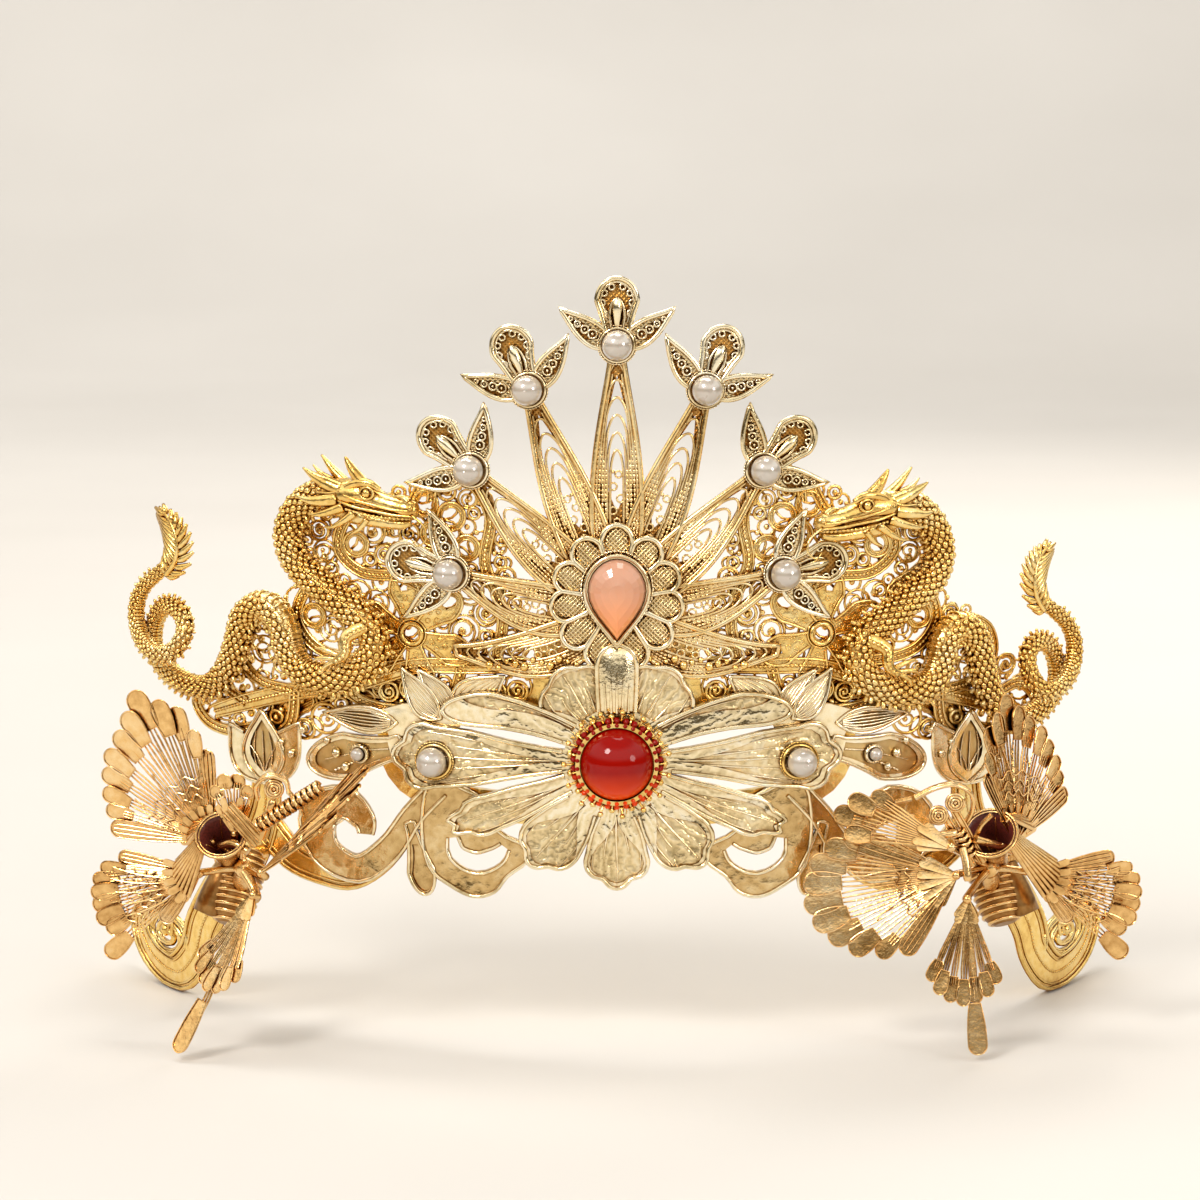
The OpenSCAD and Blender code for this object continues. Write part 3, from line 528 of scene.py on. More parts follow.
def insideOf(outline, x, z):
    inside = False
    for (ax, az), (bx, bz) in zip(outline, outline[1:] + outline[:1]):
        if (az > z) != (bz > z) and x < ax + (bx - ax) * (z - az) / (bz - az):
            inside = not inside
    return inside


def openRuns(points, covers):  # the stretches of a closed outline that no outline on top of it hides
    free = [not any(insideOf(cover, *p) for cover in covers) for p in points]
    if all(free):
        return [points + points[:1]]
    if not any(free):
        return []
    first = free.index(False)
    runs, run = [], []
    for i in range(len(points) + 1):
        k = (first + i) % len(points)
        if free[k]:
            run.append(points[k])
        else:
            if len(run) > 2:
                runs.append(run)
            run = []
    return runs


def evenly(points, pitch, closed=False):  # points at equal steps along a line in space
    if closed:
        points = points + [points[0]]
    total = sum((b - a).length for a, b in zip(points, points[1:]))
    count = max(int(round(total / pitch)), 1)
    out, i, gone = [], 0, 0.0
    for k in range(count if closed else count + 1):
        want = total * k / count
        while i < len(points) - 2 and gone + (points[i + 1] - points[i]).length < want:
            gone += (points[i + 1] - points[i]).length
            i += 1
        step = max((points[i + 1] - points[i]).length, 1e-9)
        out.append(points[i].lerp(points[i + 1], min((want - gone) / step, 1)))
    return out


class Wirework:  # round wires, strings of grains and balls, gathered in one piece
    def __init__(self, side=1):
        self.strands = []
        self.side = side

    def path(self, points, radii, closed=False):  # points in metres on the right-hand side
        flipped = [Vector((p.x * self.side, p.y, p.z)) for p in points]
        self.strands.append((flipped, list(radii), closed))

    def line(self, flat, layer, radius, closed=False, taper=None):
        points = [shellPoint(x, z, layer) for x, z in flat]
        last = len(points) - 1
        radii = [radius * (1 if taper is None else 1 + (taper - 1) * i / last) for i in range(last + 1)]
        self.path(points, radii, closed)

    def grains(self, points, radius, pitch, closed=False):
        swell = (0.2, 0.84, 1.0, 0.84)
        even = evenly(points, pitch * mm / len(swell), closed)
        self.path(even, [radius * swell[i % len(swell)] for i in range(len(even))], closed)

    def grainLine(self, flat, layer, radius, pitch, closed=False):
        self.grains([shellPoint(x, z, layer) for x, z in flat], radius, pitch, closed)

    def ring(self, x, z, layer, ringRadius, radius, steps=18):
        self.line(ringLine(x, z, ringRadius, steps), layer, radius, True)

    def ball(self, centre, radius, way=Vector((0, 0, 1))):
        steps = (-0.98, -0.72, 0, 0.72, 0.98)
        self.path([centre + way * radius * mm * t for t in steps],
                  [radius * math.sqrt(1 - t * t) for t in steps])

    def ballOn(self, x, z, layer, radius):
        self.ball(shellPoint(x, z, layer), radius)

    def curl(self, x, z, layer, size, start, turns, radius, hand=1):  # spiral that ends in a grain
        flat = []
        for t in upTo(int(12 * turns)):
            a = math.radians(start) + hand * 2 * math.pi * turns * t
            r = size * (1 - 0.82 * t)
            flat.append((x + r * math.cos(a), z + r * math.sin(a)))
        self.line(flat, layer, radius)
        self.ballOn(*flat[-1], layer, radius * 1.9)

    def mesh(self, name, sides=6):
        curve = bpy.data.curves.new(name, "CURVE")
        curve.dimensions = "3D"
        curve.bevel_depth = mm
        curve.bevel_resolution = (sides - 4) // 2
        curve.use_fill_caps = True
        for points, radii, closed in self.strands:
            spline = curve.splines.new("POLY")
            spline.points.add(len(points) - 1)
            spline.points.foreach_set("co", [c for p in points for c in (*p, 1.0)])
            spline.points.foreach_set("radius", radii)
            spline.use_cyclic_u = closed
        holder = bpy.data.objects.new(name, curve)
        made = bpy.data.meshes.new_from_object(holder)
        bpy.data.objects.remove(holder)
        bpy.data.curves.remove(curve)
        return made

    def piece(self, name, look, slot, sides=6):
        addPiece(name, self.mesh(name, sides), look, slot)


def addPiece(name, mesh, look, slot, *stands):
    mesh.name = name
    mesh.materials.clear()
    mesh.materials.append(look)
    mesh.shade_smooth()
    piece = linked(name, mesh)
    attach(piece, "root")
    if stands:
        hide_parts(*stands)


# fan: rims, nested arches and rows of grains on each petal
fanLook = {
    "reach": 44.7, "width": 9.0, "rootWidth": 3.0, "tipWidth": 2.4, "lift": 0.05,
    "rim": 0.5, "innerRim": 0.24, "wire": 0.25, "grain": 0.28,
    "petals": [(0, 1, 0), (21.4, 0.895, -0.4), (45.5, 0.76, -1.0), (77, 0.635, -2.2), (104, 0.62, -3.4)],
    "rimFrom": 0.2,  # shares of the length, as all places along a petal
    "arches": [  # width, apex
        (0.80, 0.935), (0.69, 0.87), (0.58, 0.805), (0.47, 0.74), (0.36, 0.675), (0.25, 0.61)],
    "archRise": 0.085, "archLength": 0.32, "lowestFoot": 0.33,
    "weave": [(0.79, 0.66), (0.66, 0.62), (0.53, 0.58), (0.40, 0.54)],  # share of the width, end of the row
    "weaveFrom": 0.22,
    "scrolls": [  # share along, share across, size
        (0.345, 0.0, 0.5), (0.385, 0.14, 0.62), (0.43, -0.14, 0.66), (0.475, 0.14, 0.62),
        (0.52, -0.06, 0.56)],
    "row": {"count": 13, "from": 3.8, "pitch": 1.45, "height": 62.1, "sag": 0.0024, "size": 0.62},
}


def lancetHalf(t):  # half width of a fan petal along its length
    root, width, tip = fanLook["rootWidth"], fanLook["width"], fanLook["tipWidth"]
    if t < 0.4:
        return (root + (width - root) * math.sin(math.radians(225 * t))) / 2
    return (tip + (width - tip) * math.cos(math.radians(150 * (min(t, 0.999) - 0.4))) ** 1.3) / 2


def fanPoints(petal, side, pairs):  # (share along, share across) to the front view
    angle, share, bow = petal
    length = fanLook["reach"] * share
    local = [(length * t, lancetHalf(t) * across + bow * math.sin(math.pi * t)) for t, across in pairs]
    return [(x * side, z) for x, z in turned(local, 90 - angle, (0, crown["fanHeight"]))]


def bothSides(half, skip=0):  # an outline that runs up one side and down the other
    return half + [(t, -across) for t, across in reversed(half[:len(half) - skip])]


def archLine(share, apex):
    rise = fanLook["archRise"]
    foot = max(apex - fanLook["archLength"], fanLook["lowestFoot"])
    side = [(foot + (apex - rise - foot) * t, share) for t in upTo(6)[:-1]]
    top = [math.pi / 2 * t for t in upTo(7)]
    return bothSides(side + [(apex - rise + rise * math.sin(a), share * math.cos(a)) for a in top], 1)


def addFan():
    wires, weave = Wirework(), Wirework()
    height, start = leafTop + fanLook["lift"], fanLook["rimFrom"]
    edge = [(t, 1 - 0.35 / lancetHalf(t)) for t in [start + (1 - start) * u for u in upTo(22)]]
    inner = [(t, across - 0.7 / lancetHalf(t)) for t, across in edge[:-3]]
    placed = [(petal, side) for petal in fanLook["petals"] for side in ((1, -1) if petal[0] else (1,))]
    for petal, side in placed:
        wires.line(fanPoints(petal, side, bothSides(edge)), leafTop + 0.12, fanLook["rim"], True)
        for sign in (1, -1):
            half = [(t, across * sign) for t, across in inner]
            wires.line(fanPoints(petal, side, half), height, fanLook["innerRim"])
        for share, apex in fanLook["arches"]:
            wires.line(fanPoints(petal, side, archLine(share, apex)), height, fanLook["wire"])
        for share, end in fanLook["weave"]:
            for sign in (1, -1):
                low = fanLook["weaveFrom"]
                row = [(low + (end - low) * t, share * sign) for t in upTo(8)]
                weave.grainLine(fanPoints(petal, side, row), height, fanLook["grain"], 0.8)
        for t, across, size in fanLook["scrolls"]:
            (x, z), grain = fanPoints(petal, side, [(t, across), (t + 0.01, -2.6 * across)])
            wires.ring(x, z, height, size, 0.2, 10)
            wires.ballOn(*grain, height, 0.34)
    wires.piece("fanFiligree", fanWire, "pale_gold")
    weave.piece("fanWeave", fanWire, "pale_gold")
    spec = fanLook["row"]
    for hand, side in hands:
        row = Wirework(side)
        for i in range(spec["count"]):
            x = spec["from"] + spec["pitch"] * i
            z = spec["height"] + 0.6 * math.sin(i * 2.1) - spec["sag"] * x * x
            row.ballOn(x, z, leafTop + 0.35, spec["size"] + 0.16 * math.sin(i * 1.7))
        row.piece("grainRow" + hand, richWire, "rich_gold")
    print("fan filigree is laid")


# small flowers at the fan's tips
tipLook = {
    "rim": 0.46, "wire": 0.24, "fine": 0.19, "seat": 2.75, "leafTurn": 72,
    "spoon": (11.2, 4, 7.2, 0.64), "tongue": (7.6, 1.3, 2.5, 0.6), "leaf": (11, 4, -0.26),
    "tongueRows": [(2.6, 0.4), (4.4, 0.75), (5.8, 0.95), (7.0, 0.9), (7.8, 0.4)],  # place, radius
    "rings": [(5.2, 2.2, 0.55), (6.9, 2.5, 0.55), (8.5, 2.1, 0.5), (9.5, 0.9, 0.5)],
    "beads": [(0.4, 0.78), (0.53, 0.66), (0.66, 0.5), (0.78, 0.34)],  # share of the leaf, size
}


def tipPlaces():
    out = []
    for angle, share, bow in fanLook["petals"][:4]:
        at = spot(fanLook["reach"] * share, 0, 90 - angle, (0, crown["fanHeight"]))
        out += [(at, 90 - angle, side) for side in ((1, -1) if angle else (1,))]
    return out


def addPearlSeat(wires, x, z, layer, radius):
    seat = ringLine(x, z, radius, 24)
    wires.line(seat, layer + 0.5, 0.3, True)
    wider = [(x + (u - x) * 1.16, z + (v - z) * 1.16) for u, v in seat]
    wires.grainLine(wider, layer + 0.15, 0.2, 0.52, True)


def addTipFlowers():
    wires = Wirework()
    height = tipTop + 0.06
    for at, angle, side in tipPlaces():
        wires.side = side
        wires.line(turned(insetPetal(0.25, *tipLook["spoon"]), angle, at)[2:-2], height, tipLook["rim"])
        inner = turned(insetPetal(0.85, *tipLook["spoon"]), angle, at)[6:-6]
        wires.line(inner, height - 0.05, tipLook["wire"])
        wires.line(turned(petalLine(*tipLook["tongue"]), angle, at)[3:-3], height + 0.1, tipLook["wire"])
        wires.path([shellPoint(*spot(u, 0, angle, at), height) for u, radius in tipLook["tongueRows"]],
                   [radius for u, radius in tipLook["tongueRows"]])
        for sign in (1, -1):
            for u, v, size in tipLook["rings"]:
                wires.ring(*spot(u, v * sign, angle, at), height, size, tipLook["fine"], 9)
            leaf = turned(loopCurve(leafLine(*tipLook["leaf"]), 2), tipLook["leafTurn"])
            leaf = [(x, y * sign) for x, y in leaf]
            wires.line(turned(shifted(leaf[::sign], -0.22), angle, at)[3:-3], height, tipLook["rim"])
            length, width, bend = tipLook["leaf"]
            for t, size in tipLook["beads"]:
                x, y = spot(length * t, bend * length * t * t, tipLook["leafTurn"], (0, 0))
                bead = spot(x, y * sign, angle, at)
                wires.ring(*bead, height, size, tipLook["fine"], 9)
                wires.ballOn(*bead, height - 0.1, size * 0.36)
        addPearlSeat(wires, *at, tipTop, tipLook["seat"])
    wires.side = 1
    wires.piece("tipFiligree", paleWire, "pale_gold")
    print("tip flowers are laid")


# rosette round the drop
rosetteLook = {
    "petals": 11, "reach": 12.6, "narrowing": 1.4, "petal": (2.4, 5.6, 0.76), "rim": 0.5,
    "drop": (10.0, 13.5), "dropRise": 1.9, "dome": (3.1 * mm, 2.15 * mm, 0.85 * mm), "domeFromTip": 3.6,
}


def dropLine(margin, rise, count=28):
    width, length = rosetteLook["drop"]
    return [(x, z + crown["dropHeight"] + rise) for x, z in pearLine(width + margin, length + margin, count)]


def addRosette():
    wires = Wirework()
    domes = bmesh.new()
    at = (0, crown["dropHeight"])
    for a in compass(rosetteLook["petals"]):
        angle = 90 + math.degrees(a)
        length = rosetteLook["reach"] - rosetteLook["narrowing"] * abs(math.sin(a))
        petal = insetPetal(0.25, length, *rosetteLook["petal"])
        wires.line(turned(petal, angle, at)[6:-6], tipTop + 0.1, rosetteLook["rim"])
        x, z = spot(length - rosetteLook["domeFromTip"], 0, angle, at)  # a low woven dome on every petal
        out = outwardAt(x, tipTop)
        along = Vector((math.cos(math.radians(angle)), 0, math.sin(math.radians(angle))))
        turn = Matrix((along, out.cross(along), out)).transposed().to_4x4()
        place = Matrix.Translation(shellPoint(x, z, tipTop - 0.1)) @ turn
        place = place @ Matrix.Diagonal((*rosetteLook["dome"], 1))
        bmesh.ops.create_uvsphere(domes, u_segments=20, v_segments=12, radius=1.0, matrix=place)
    wires.grainLine(dropLine(2.6, rosetteLook["dropRise"] - 0.1), tipLayer + 0.35, 0.26, 0.72, True)
    wires.line(dropLine(1.3, rosetteLook["dropRise"], 36), tipLayer + 2.2, 0.3, True)
    wires.piece("rosetteRims", paleWire, "pale_gold")
    addPiece("rosetteDomes", meshFrom("rosetteDomes", domes), domeNet, "pale_gold")
    print("rosette is laid")


# flower plate: raised rims and veins, stamens round the cabochon
plateLook = {
    "petals": [(0, 38, 2.6, 12.6, 0.8, 0, 3, 0.16), (37, 28.6, 3.4, 7.2, 0.8, -0.37, 1, 0),
               (58, 18.4, 6, 13.4, 0.66, 0, 3, 0.1), (-25.5, 31, 2.6, 7.4, 0.72, 0.05, 4, 0.14),
               (-53, 23.2, 2, 11.6, 0.68, 0.04, 3, 0.12)],
    "middle": [(90, 19, 4.6, 6.8, 0.78, 0, 1, 0), (-90, 21.8, 2.4, 12, 0.7, 0, 3, 0.14)],
    "rim": 0.38, "vein": 0.3, "veinReach": (0.86, 0.74, 0.92, 0.70, 0.82), "hub": 9.0,
    "pearl": (30.6, crown["plateHeight"] - 0.7), "seat": 2.75,
}


def addPlateRelief():
    wires = Wirework()
    at = (0, crown["plateHeight"])
    rows = [(row, 1) for row in plateLook["middle"]]
    rows += [(row, side) for row in plateLook["petals"] for side in (1, -1)]
    covers = [ringLine(*at, plateLook["hub"], 30)]
    for row, side in rows:  # from the petal on top to the lowest
        angle, length, root, width, widest, bend = row[:6]
        outline = [(x * side, z) for x, z in turned(insetPetal(0.3, *row[1:]), angle, at)]
        for run in openRuns(outline, covers):
            wires.line(run, plateTop + 0.06, plateLook["rim"])
        covers.append(outline)
        wires.side = side
        start = (plateLook["hub"] + 0.4) / length
        for k, reach in zip(range(-2, 3), plateLook["veinReach"]):
            line = []
            for t in [start + (reach - start) * u for u in upTo(8)]:
                spread = (root + (width - root) * min(t / widest, 1) ** 1.7) / 2 * 0.78
                wave = 0.12 * math.sin(9 * t + k)
                line.append((length * t, spread * k / 2.4 + bend * length * t * t + wave))
            wires.line(turned(line, angle, at), plateTop - 0.34, plateLook["vein"], taper=0.35)
        wires.side = 1
    wires.piece("plateRims", paleWire, "pale_gold")
    seats = Wirework()
    for hand, side in hands:
        seats.side = side
        addPearlSeat(seats, *plateLook["pearl"], plateTop - 0.1, plateLook["seat"])
    seats.side = 1
    seats.piece("plateSeats", richWire, "rich_gold")
    addSpoon()
    print("plate relief is laid")


spoonLook = {
    "low": 53.8, "high": 65.0, "half": 3.3, "rise": 1.5, "roundFrom": 0.68, "roundLength": 0.325,
    "end": 0.995, "ribs": (-0.62, -0.31, 0, 0.31, 0.62), "rim": 0.45, "sheet": 0.25,
}


def spoonHalf(t):  # half width of the domed petal from its foot to its round top
    past = t - spoonLook["roundFrom"]
    if past < 0:
        return spoonLook["half"] * (0.9 + 0.1 * math.sin(math.pi / 2 * t / spoonLook["roundFrom"]))
    return spoonLook["half"] * math.sqrt(1 - (past / spoonLook["roundLength"]) ** 2)


def spoonPoint(across, t, lift=0.0):
    z = spoonLook["low"] + (spoonLook["high"] - spoonLook["low"]) * t
    rise = spoonLook["rise"] * (1 - across ** 2) * math.sin(math.pi * min(0.25 + 0.75 * t, 1)) ** 0.6
    return shellPoint(across * spoonHalf(t), z, topLayer + 0.1 + rise + lift)


def addSpoon():  # the domed petal that stands in front of the rosette
    bm = bmesh.new()
    for vert in bmesh.ops.create_grid(bm, x_segments=16, y_segments=20, size=1.0)["verts"]:
        vert.co = spoonPoint(vert.co.x, (vert.co.y + 1) / 2 * spoonLook["end"])
    bmesh.ops.solidify(bm, geom=list(bm.faces), thickness=spoonLook["sheet"] * mm)
    bmesh.ops.recalc_face_normals(bm, faces=bm.faces)
    addPiece("topPetal", meshFrom("topPetal", bm), petalGold, "pale_gold")
    wires = Wirework()
    edge = [t * spoonLook["end"] for t in upTo(16)]
    rim = [spoonPoint(-1, t) for t in edge] + [spoonPoint(1, t) for t in reversed(edge)]
    wires.path(rim, [spoonLook["rim"]] * len(rim))
    for across in spoonLook["ribs"]:
        reach = 0.62 - 0.3 * abs(across)
        wires.path([spoonPoint(across, reach * t, 0.02) for t in upTo(8)], [0.3 - 0.192 * t for t in upTo(8)])
    wires.piece("topPetalRibs", paleWire, "pale_gold")


stamenLook = {
    "count": 30, "foot": 6.7, "stem": 0.22,
    "rows": [(7.9, -1.1, 0.651, -1.6), (8.8, -2.2, 0.527, -1.1)],  # reach, depth, ball, depth of the foot
    "chips": [(7.25, -1.5, 0.62), (6.6, -2.5, 0.434)],  # reach, depth, size
}


def addStamens():
    base = Vector((0, -crown["depthMid"] - topLayer, crown["plateHeight"] + crown["lift"])) * mm
    toFront = Vector((0, 1, 0))
    wires, chips = Wirework(), Wirework()

    def at(a, reach, depth):
        return base + Vector((reach * math.cos(a), depth, reach * math.sin(a))) * mm

    for i, a in enumerate(compass(stamenLook["count"])):
        reach, depth, ball, footDepth = stamenLook["rows"][i % 2]
        foot, top = at(a, stamenLook["foot"], footDepth), at(a, reach, depth)
        wires.path([foot, foot.lerp(top, 0.5) - toFront * 0.4 * mm, top], [stamenLook["stem"]] * 3)
        wires.ball(top, ball, toFront)
        for reach, depth, size in stamenLook["chips"]:
            chips.ball(at(a + math.pi / stamenLook["count"], reach, depth), size, toFront)
    wires.piece("stamens", richWire, "rich_gold")
    chips.piece("redChips", agateRed, "red_agate")
    print("stamens are set")


# side panels
panelLook = {
    "scrolls": [
        [(15, 61, 2.6), (24, 60.5, 2.6), (34, 60, 2.8), (44, 56.5, 2.8), (55, 54, 3), (64, 51, 3),
         (70, 48.5, 2.4)],
        [(20, 62, 2), (19, 70, 2), (22, 78, 2), (21, 86, 2), (25, 92, 1.8), (30, 91.5, 1.6), (31, 88, 1.6)],
        [(36, 62, 2), (44, 60.5, 2), (51, 62, 2), (54.5, 67, 2), (52, 72.5, 2), (47, 73, 1.8),
         (46, 69.5, 1.6)],
        [(54, 54, 2), (61, 55, 2), (65, 59, 2), (64, 64, 2), (59.5, 66, 2), (57, 62.5, 1.6)],
        [(30, 72, 2), (36, 75, 2), (43, 75.5, 2), (47, 79.5, 2), (45, 85, 2), (39.5, 86, 1.8), (38, 82, 1.6)],
        [(47, 73, 2), (52, 76, 2), (54, 81, 1.8), (52, 85, 1.6)],
        [(26, 60, 2), (28, 55, 2), (35, 52.5, 2), (42, 53, 2), (47, 56, 2)],
        [(64, 51, 2), (70, 53.5, 2), (73.5, 50, 2), (71.5, 46.5, 2), (67, 45.5, 2), (62, 47, 2)],
        [(55, 54, 2), (56, 48, 2), (61, 44, 2)],
        [(33, 90, 1.8), (35.5, 86, 1.8), (39.5, 86, 1.8)],
    ],
    "rings": [(27.6, 85.6, 2.6), (32, 87.6, 2.4), (30.6, 82.6, 2.4), (25, 80.4, 2.4), (43.9, 80.2, 2.4),
              (51.4, 67.4, 2.3)],
    "flower": (34.4, 65.6), "petals": [20 + 60 * k for k in range(6)],
    "petal": (11, 2.2, 5.6, 0.62), "hole": (2.6, 1.2, 2, 0.6), "holeAt": 7.2,
    "petalRings": [(3.6, 0), (4.8, 0.9), (4.8, -0.9), (6.0, 0)], "petalRing": (0.42, 0.11),
    "petalRim": 0.28, "petalWire": 0.12, "holeWire": 0.13, "hub": (1.75, 0.42), "hubWire": (2.4, 0.2),
    "scrollWire": 0.24, "scrollGrains": (0.36, 0.8), "ringWire": 0.26, "ringInner": 0.14,
    "curlWire": 0.22, "curlTurns": 1.5,
    "curls": [  # x, z, size, start, hand
        (25.5, 66.5, 2.6, 200, 1), (24.6, 73.2, 2.4, 160, -1), (28, 77, 2.0, 240, 1),
        (40.5, 70.5, 2.2, 100, -1), (41, 57.6, 1.7, 60, 1), (48.2, 65.4, 2.2, 250, -1),
        (49.4, 78.6, 1.9, 200, 1), (40.8, 82.4, 1.9, 300, -1), (60.4, 60.6, 2.4, 120, 1),
        (60.6, 50.8, 1.6, 90, -1), (68, 49, 1.9, 30, 1), (34.6, 56.2, 1.9, 210, 1),
        (35.6, 78.6, 1.8, 330, 1), (24.8, 88.6, 1.6, 120, 1), (57.2, 58.4, 1.6, 260, 1),
        (51.4, 58.4, 1.8, 80, -1),
    ],
}
laceLook = {
    "edge": [(14, 51), (14, 63), (17, 78), (21, 93), (29, 94.5), (36, 91), (42, 86.5), (50, 86.5),
             (55.5, 82), (54, 75), (58, 69), (64, 67), (67.5, 60), (72, 54.5), (75.5, 50), (72, 44.5),
             (62, 43), (54, 45), (43, 50)],
    "box": (14, 76, 43, 95),
    "front": [(2.5, 1.6, 1.0, 0.62), 2600, 11], "back": [(2.0, 1.4, 0.95), 1500, 23],  # sizes, tries, seed
    "grainUpTo": 0.85, "curlFrom": 1.3,  # smaller rings are grains, larger ones hold a curl
    "ring": 0.32, "curl": 0.26, "backRing": 0.27,
}


def edgeDistance(outline, x, z):
    best = 99.0
    for (ax, az), (bx, bz) in zip(outline, outline[1:] + outline[:1]):
        length = (bx - ax) ** 2 + (bz - az) ** 2
        t = max(0.0, min(1.0, ((x - ax) * (bx - ax) + (z - az) * (bz - az)) / length))
        best = min(best, math.hypot(x - ax - t * (bx - ax), z - az - t * (bz - az)))
    return best


def packCircles(taken, sizes, tries, seed):  # circles that fit beside those taken, the largest first
    picker = random.Random(seed)
    left, right, low, high = laceLook["box"]
    places = [(picker.uniform(left, right), picker.uniform(low, high)) for _ in range(tries)]
    places = [place for place in places if insideOf(laceLook["edge"], *place)]
    out = []
    for limit in sizes:
        for x, z in places:
            room = min([math.hypot(x - u, z - v) - r for u, v, r in taken] + [limit * 1.1])
            room = min(room, edgeDistance(laceLook["edge"], x, z))
            if room >= limit * 0.92:
                out.append((x, z, room))
                taken.append((x, z, room))
    return out


def lacePlaces():
    taken = []
    for rows in panelLook["scrolls"]:
        taken += [(x, z, width / 2) for x, z, width in openCurve(rows, 6)]
    taken += list(panelLook["rings"])
    for angle in panelLook["petals"]:
        taken += [(*spot(u, 0, angle, panelLook["flower"]), 0.9 + 0.22 * u) for u in (1, 3, 5, 7, 8.4)]
    taken += [(x, z, size) for x, z, size, start, turn in panelLook["curls"]]
    return packCircles(taken, *laceLook["front"])


def addLace(wires, places):
    for k, (x, z, size) in enumerate(places):
        if size < laceLook["grainUpTo"]:
            wires.ballOn(x, z, panelTop - 0.1, size * 0.72)
            continue
        wires.ring(x, z, panelTop - 0.3, size, laceLook["ring"], 16)
        if size < laceLook["curlFrom"]:
            wires.ballOn(x, z, panelTop - 0.1, size * 0.46)
        else:
            hand = 1 if k % 2 else -1
            wires.curl(x, z, panelTop - 0.28, size * 0.78, 47 * k, 1.4, laceLook["curl"], hand)


def addPanelFlower(wires):
    at = panelLook["flower"]
    petal = insetPetal(0.25, *panelLook["petal"])
    for angle in panelLook["petals"]:
        wires.line(turned(petal, angle, at)[4:-4], panelTop + 0.05, panelLook["petalRim"])
        wires.line(turned(shifted(petal, -0.7), angle, at)[7:-7], panelTop, panelLook["petalWire"])
        hole = turned(petalLine(*panelLook["hole"]), angle, spot(panelLook["holeAt"], 0, angle, at))
        wires.line(hole, panelTop + 0.02, panelLook["holeWire"], True)
        for u, v in panelLook["petalRings"]:
            wires.ring(*spot(u, v, angle, at), panelTop, *panelLook["petalRing"], 8)
    wires.ring(*at, panelTop + 0.4, *panelLook["hub"])
    wires.ring(*at, panelTop + 0.1, *panelLook["hubWire"])


def addPanels():
    places = lacePlaces()
    behind = packCircles([], *laceLook["back"])
    for hand, side in hands:
        lace = Wirework(side)
        addLace(lace, places)
        for x, z, size in behind:  # a second net of rings at the back of the panel
            lace.ring(x, z, panelLayer + 0.05, size, laceLook["backRing"], 12)
            lace.ballOn(x, z, panelLayer + 0.05, size * 0.36)
        lace.piece("panelLace" + hand, richWire, "rich_gold")
        wires = Wirework(side)
        for rows in panelLook["scrolls"]:
            for edge in barEdges(rows, 5, 0.22):
                wires.line(edge, panelTop + 0.04, panelLook["scrollWire"])
            middle = [row[:2] for row in openCurve(rows, 5)]
            wires.grainLine(middle, panelTop + 0.02, *panelLook["scrollGrains"])
        for x, z, size in panelLook["rings"]:
            wires.ring(x, z, panelTop + 0.05, size - 0.25, panelLook["ringWire"])
            wires.ring(x, z, panelTop + 0.02, size - 0.95, panelLook["ringInner"])
        for x, z, size, start, turn in panelLook["curls"]:
            wire = panelLook["curlWire"]
            wires.curl(x, z, panelTop - 0.3, size, start, panelLook["curlTurns"], wire, turn)
            wires.ring(x, z, panelTop - 0.35, size, wire)
        addPanelFlower(wires)
        wires.piece("panelWires" + hand, richWire, "rich_gold")
    print("panel wirework is laid")


# leaves, lotus buds and the lower scrolls
leafLook = {
    "rim": 0.32, "boldRim": 0.36, "vein": 0.2, "holeRim": 0.3, "seat": 1.35,
    "spray": [(27, 52.6, 130, 10.5, 6.2, 0.2), (28, 52.4, 70, 9, 4, -0.3), (29.4, 51.6, 34, 10.4, 4.8, 0.3),
              (37, 50.4, 1, 13, 4.6, 0.04)],
    "sprayVeins": [  # places across the leaf, places along it
        (-0.64, -0.38, -0.13, 0.13, 0.38, 0.64), (0.08, 0.2, 0.34, 0.48, 0.62, 0.76, 0.86)],
    "broad": (17.4, 4, 8.2, 0.56), "broadPlace": (-14, (36, 46.4)),
    "broadVein": [(2.5, 0), (6, 0.4), (10, 0.2), (14, 0)],
    "broadGrains": [(7.4, -0.8), (12.6, -2.0)], "pearl": (43.6, 44.6),
    "lotus": [(124, 11.6, 6.6), (60, 13.2, 6.6), (92, 12.8, 7.4)], "lotusAt": (60.6, 37.6),
    "lotusVeins": [(-0.45, 0, 0.45), (0.1, 0.25, 0.4, 0.55, 0.7)],
    "leafEdge": [(31, 41), (33.2, 34), (32, 26), (28, 22.6), (24, 21), (20.4, 22), (18.2, 24.8), (14.8, 27.6),
                 (15.4, 30.6), (19.6, 32.8), (22, 38)],
    "hook": [(30, 39.5, 4), (34.5, 34.5, 4), (38.5, 28.5, 4.6), (44, 24.4, 5), (50, 27, 6), (51, 33, 7),
             (46.4, 35.6, 6), (43, 33, 4.4), (42.6, 30.6, 3)],
    "hole": [(27.6, 31.2, 1.2), (26.8, 28.4, 2.4), (23.6, 27, 3), (20.4, 28.2, 2.6), (18.8, 30, 1.2)],
    "small": (13, 2, 5, 0.66), "smallPlace": (-103, (35, 33.5)),
    "balls": [(47.6, 44.4, 0.9), (46, 42.2, 0.8), (49.2, 46.4, 0.7), (55.6, 43.4, 0.8), (57.4, 45.2, 0.7),
              (53.6, 47.8, 0.7)],
}


def leafVeins(length, width, bend, places):
    for across in places[0]:
        yield [(length * t, width / 2 * across * math.sin(math.pi * t ** 0.8) + bend * length * t * t)
               for t in places[1]]


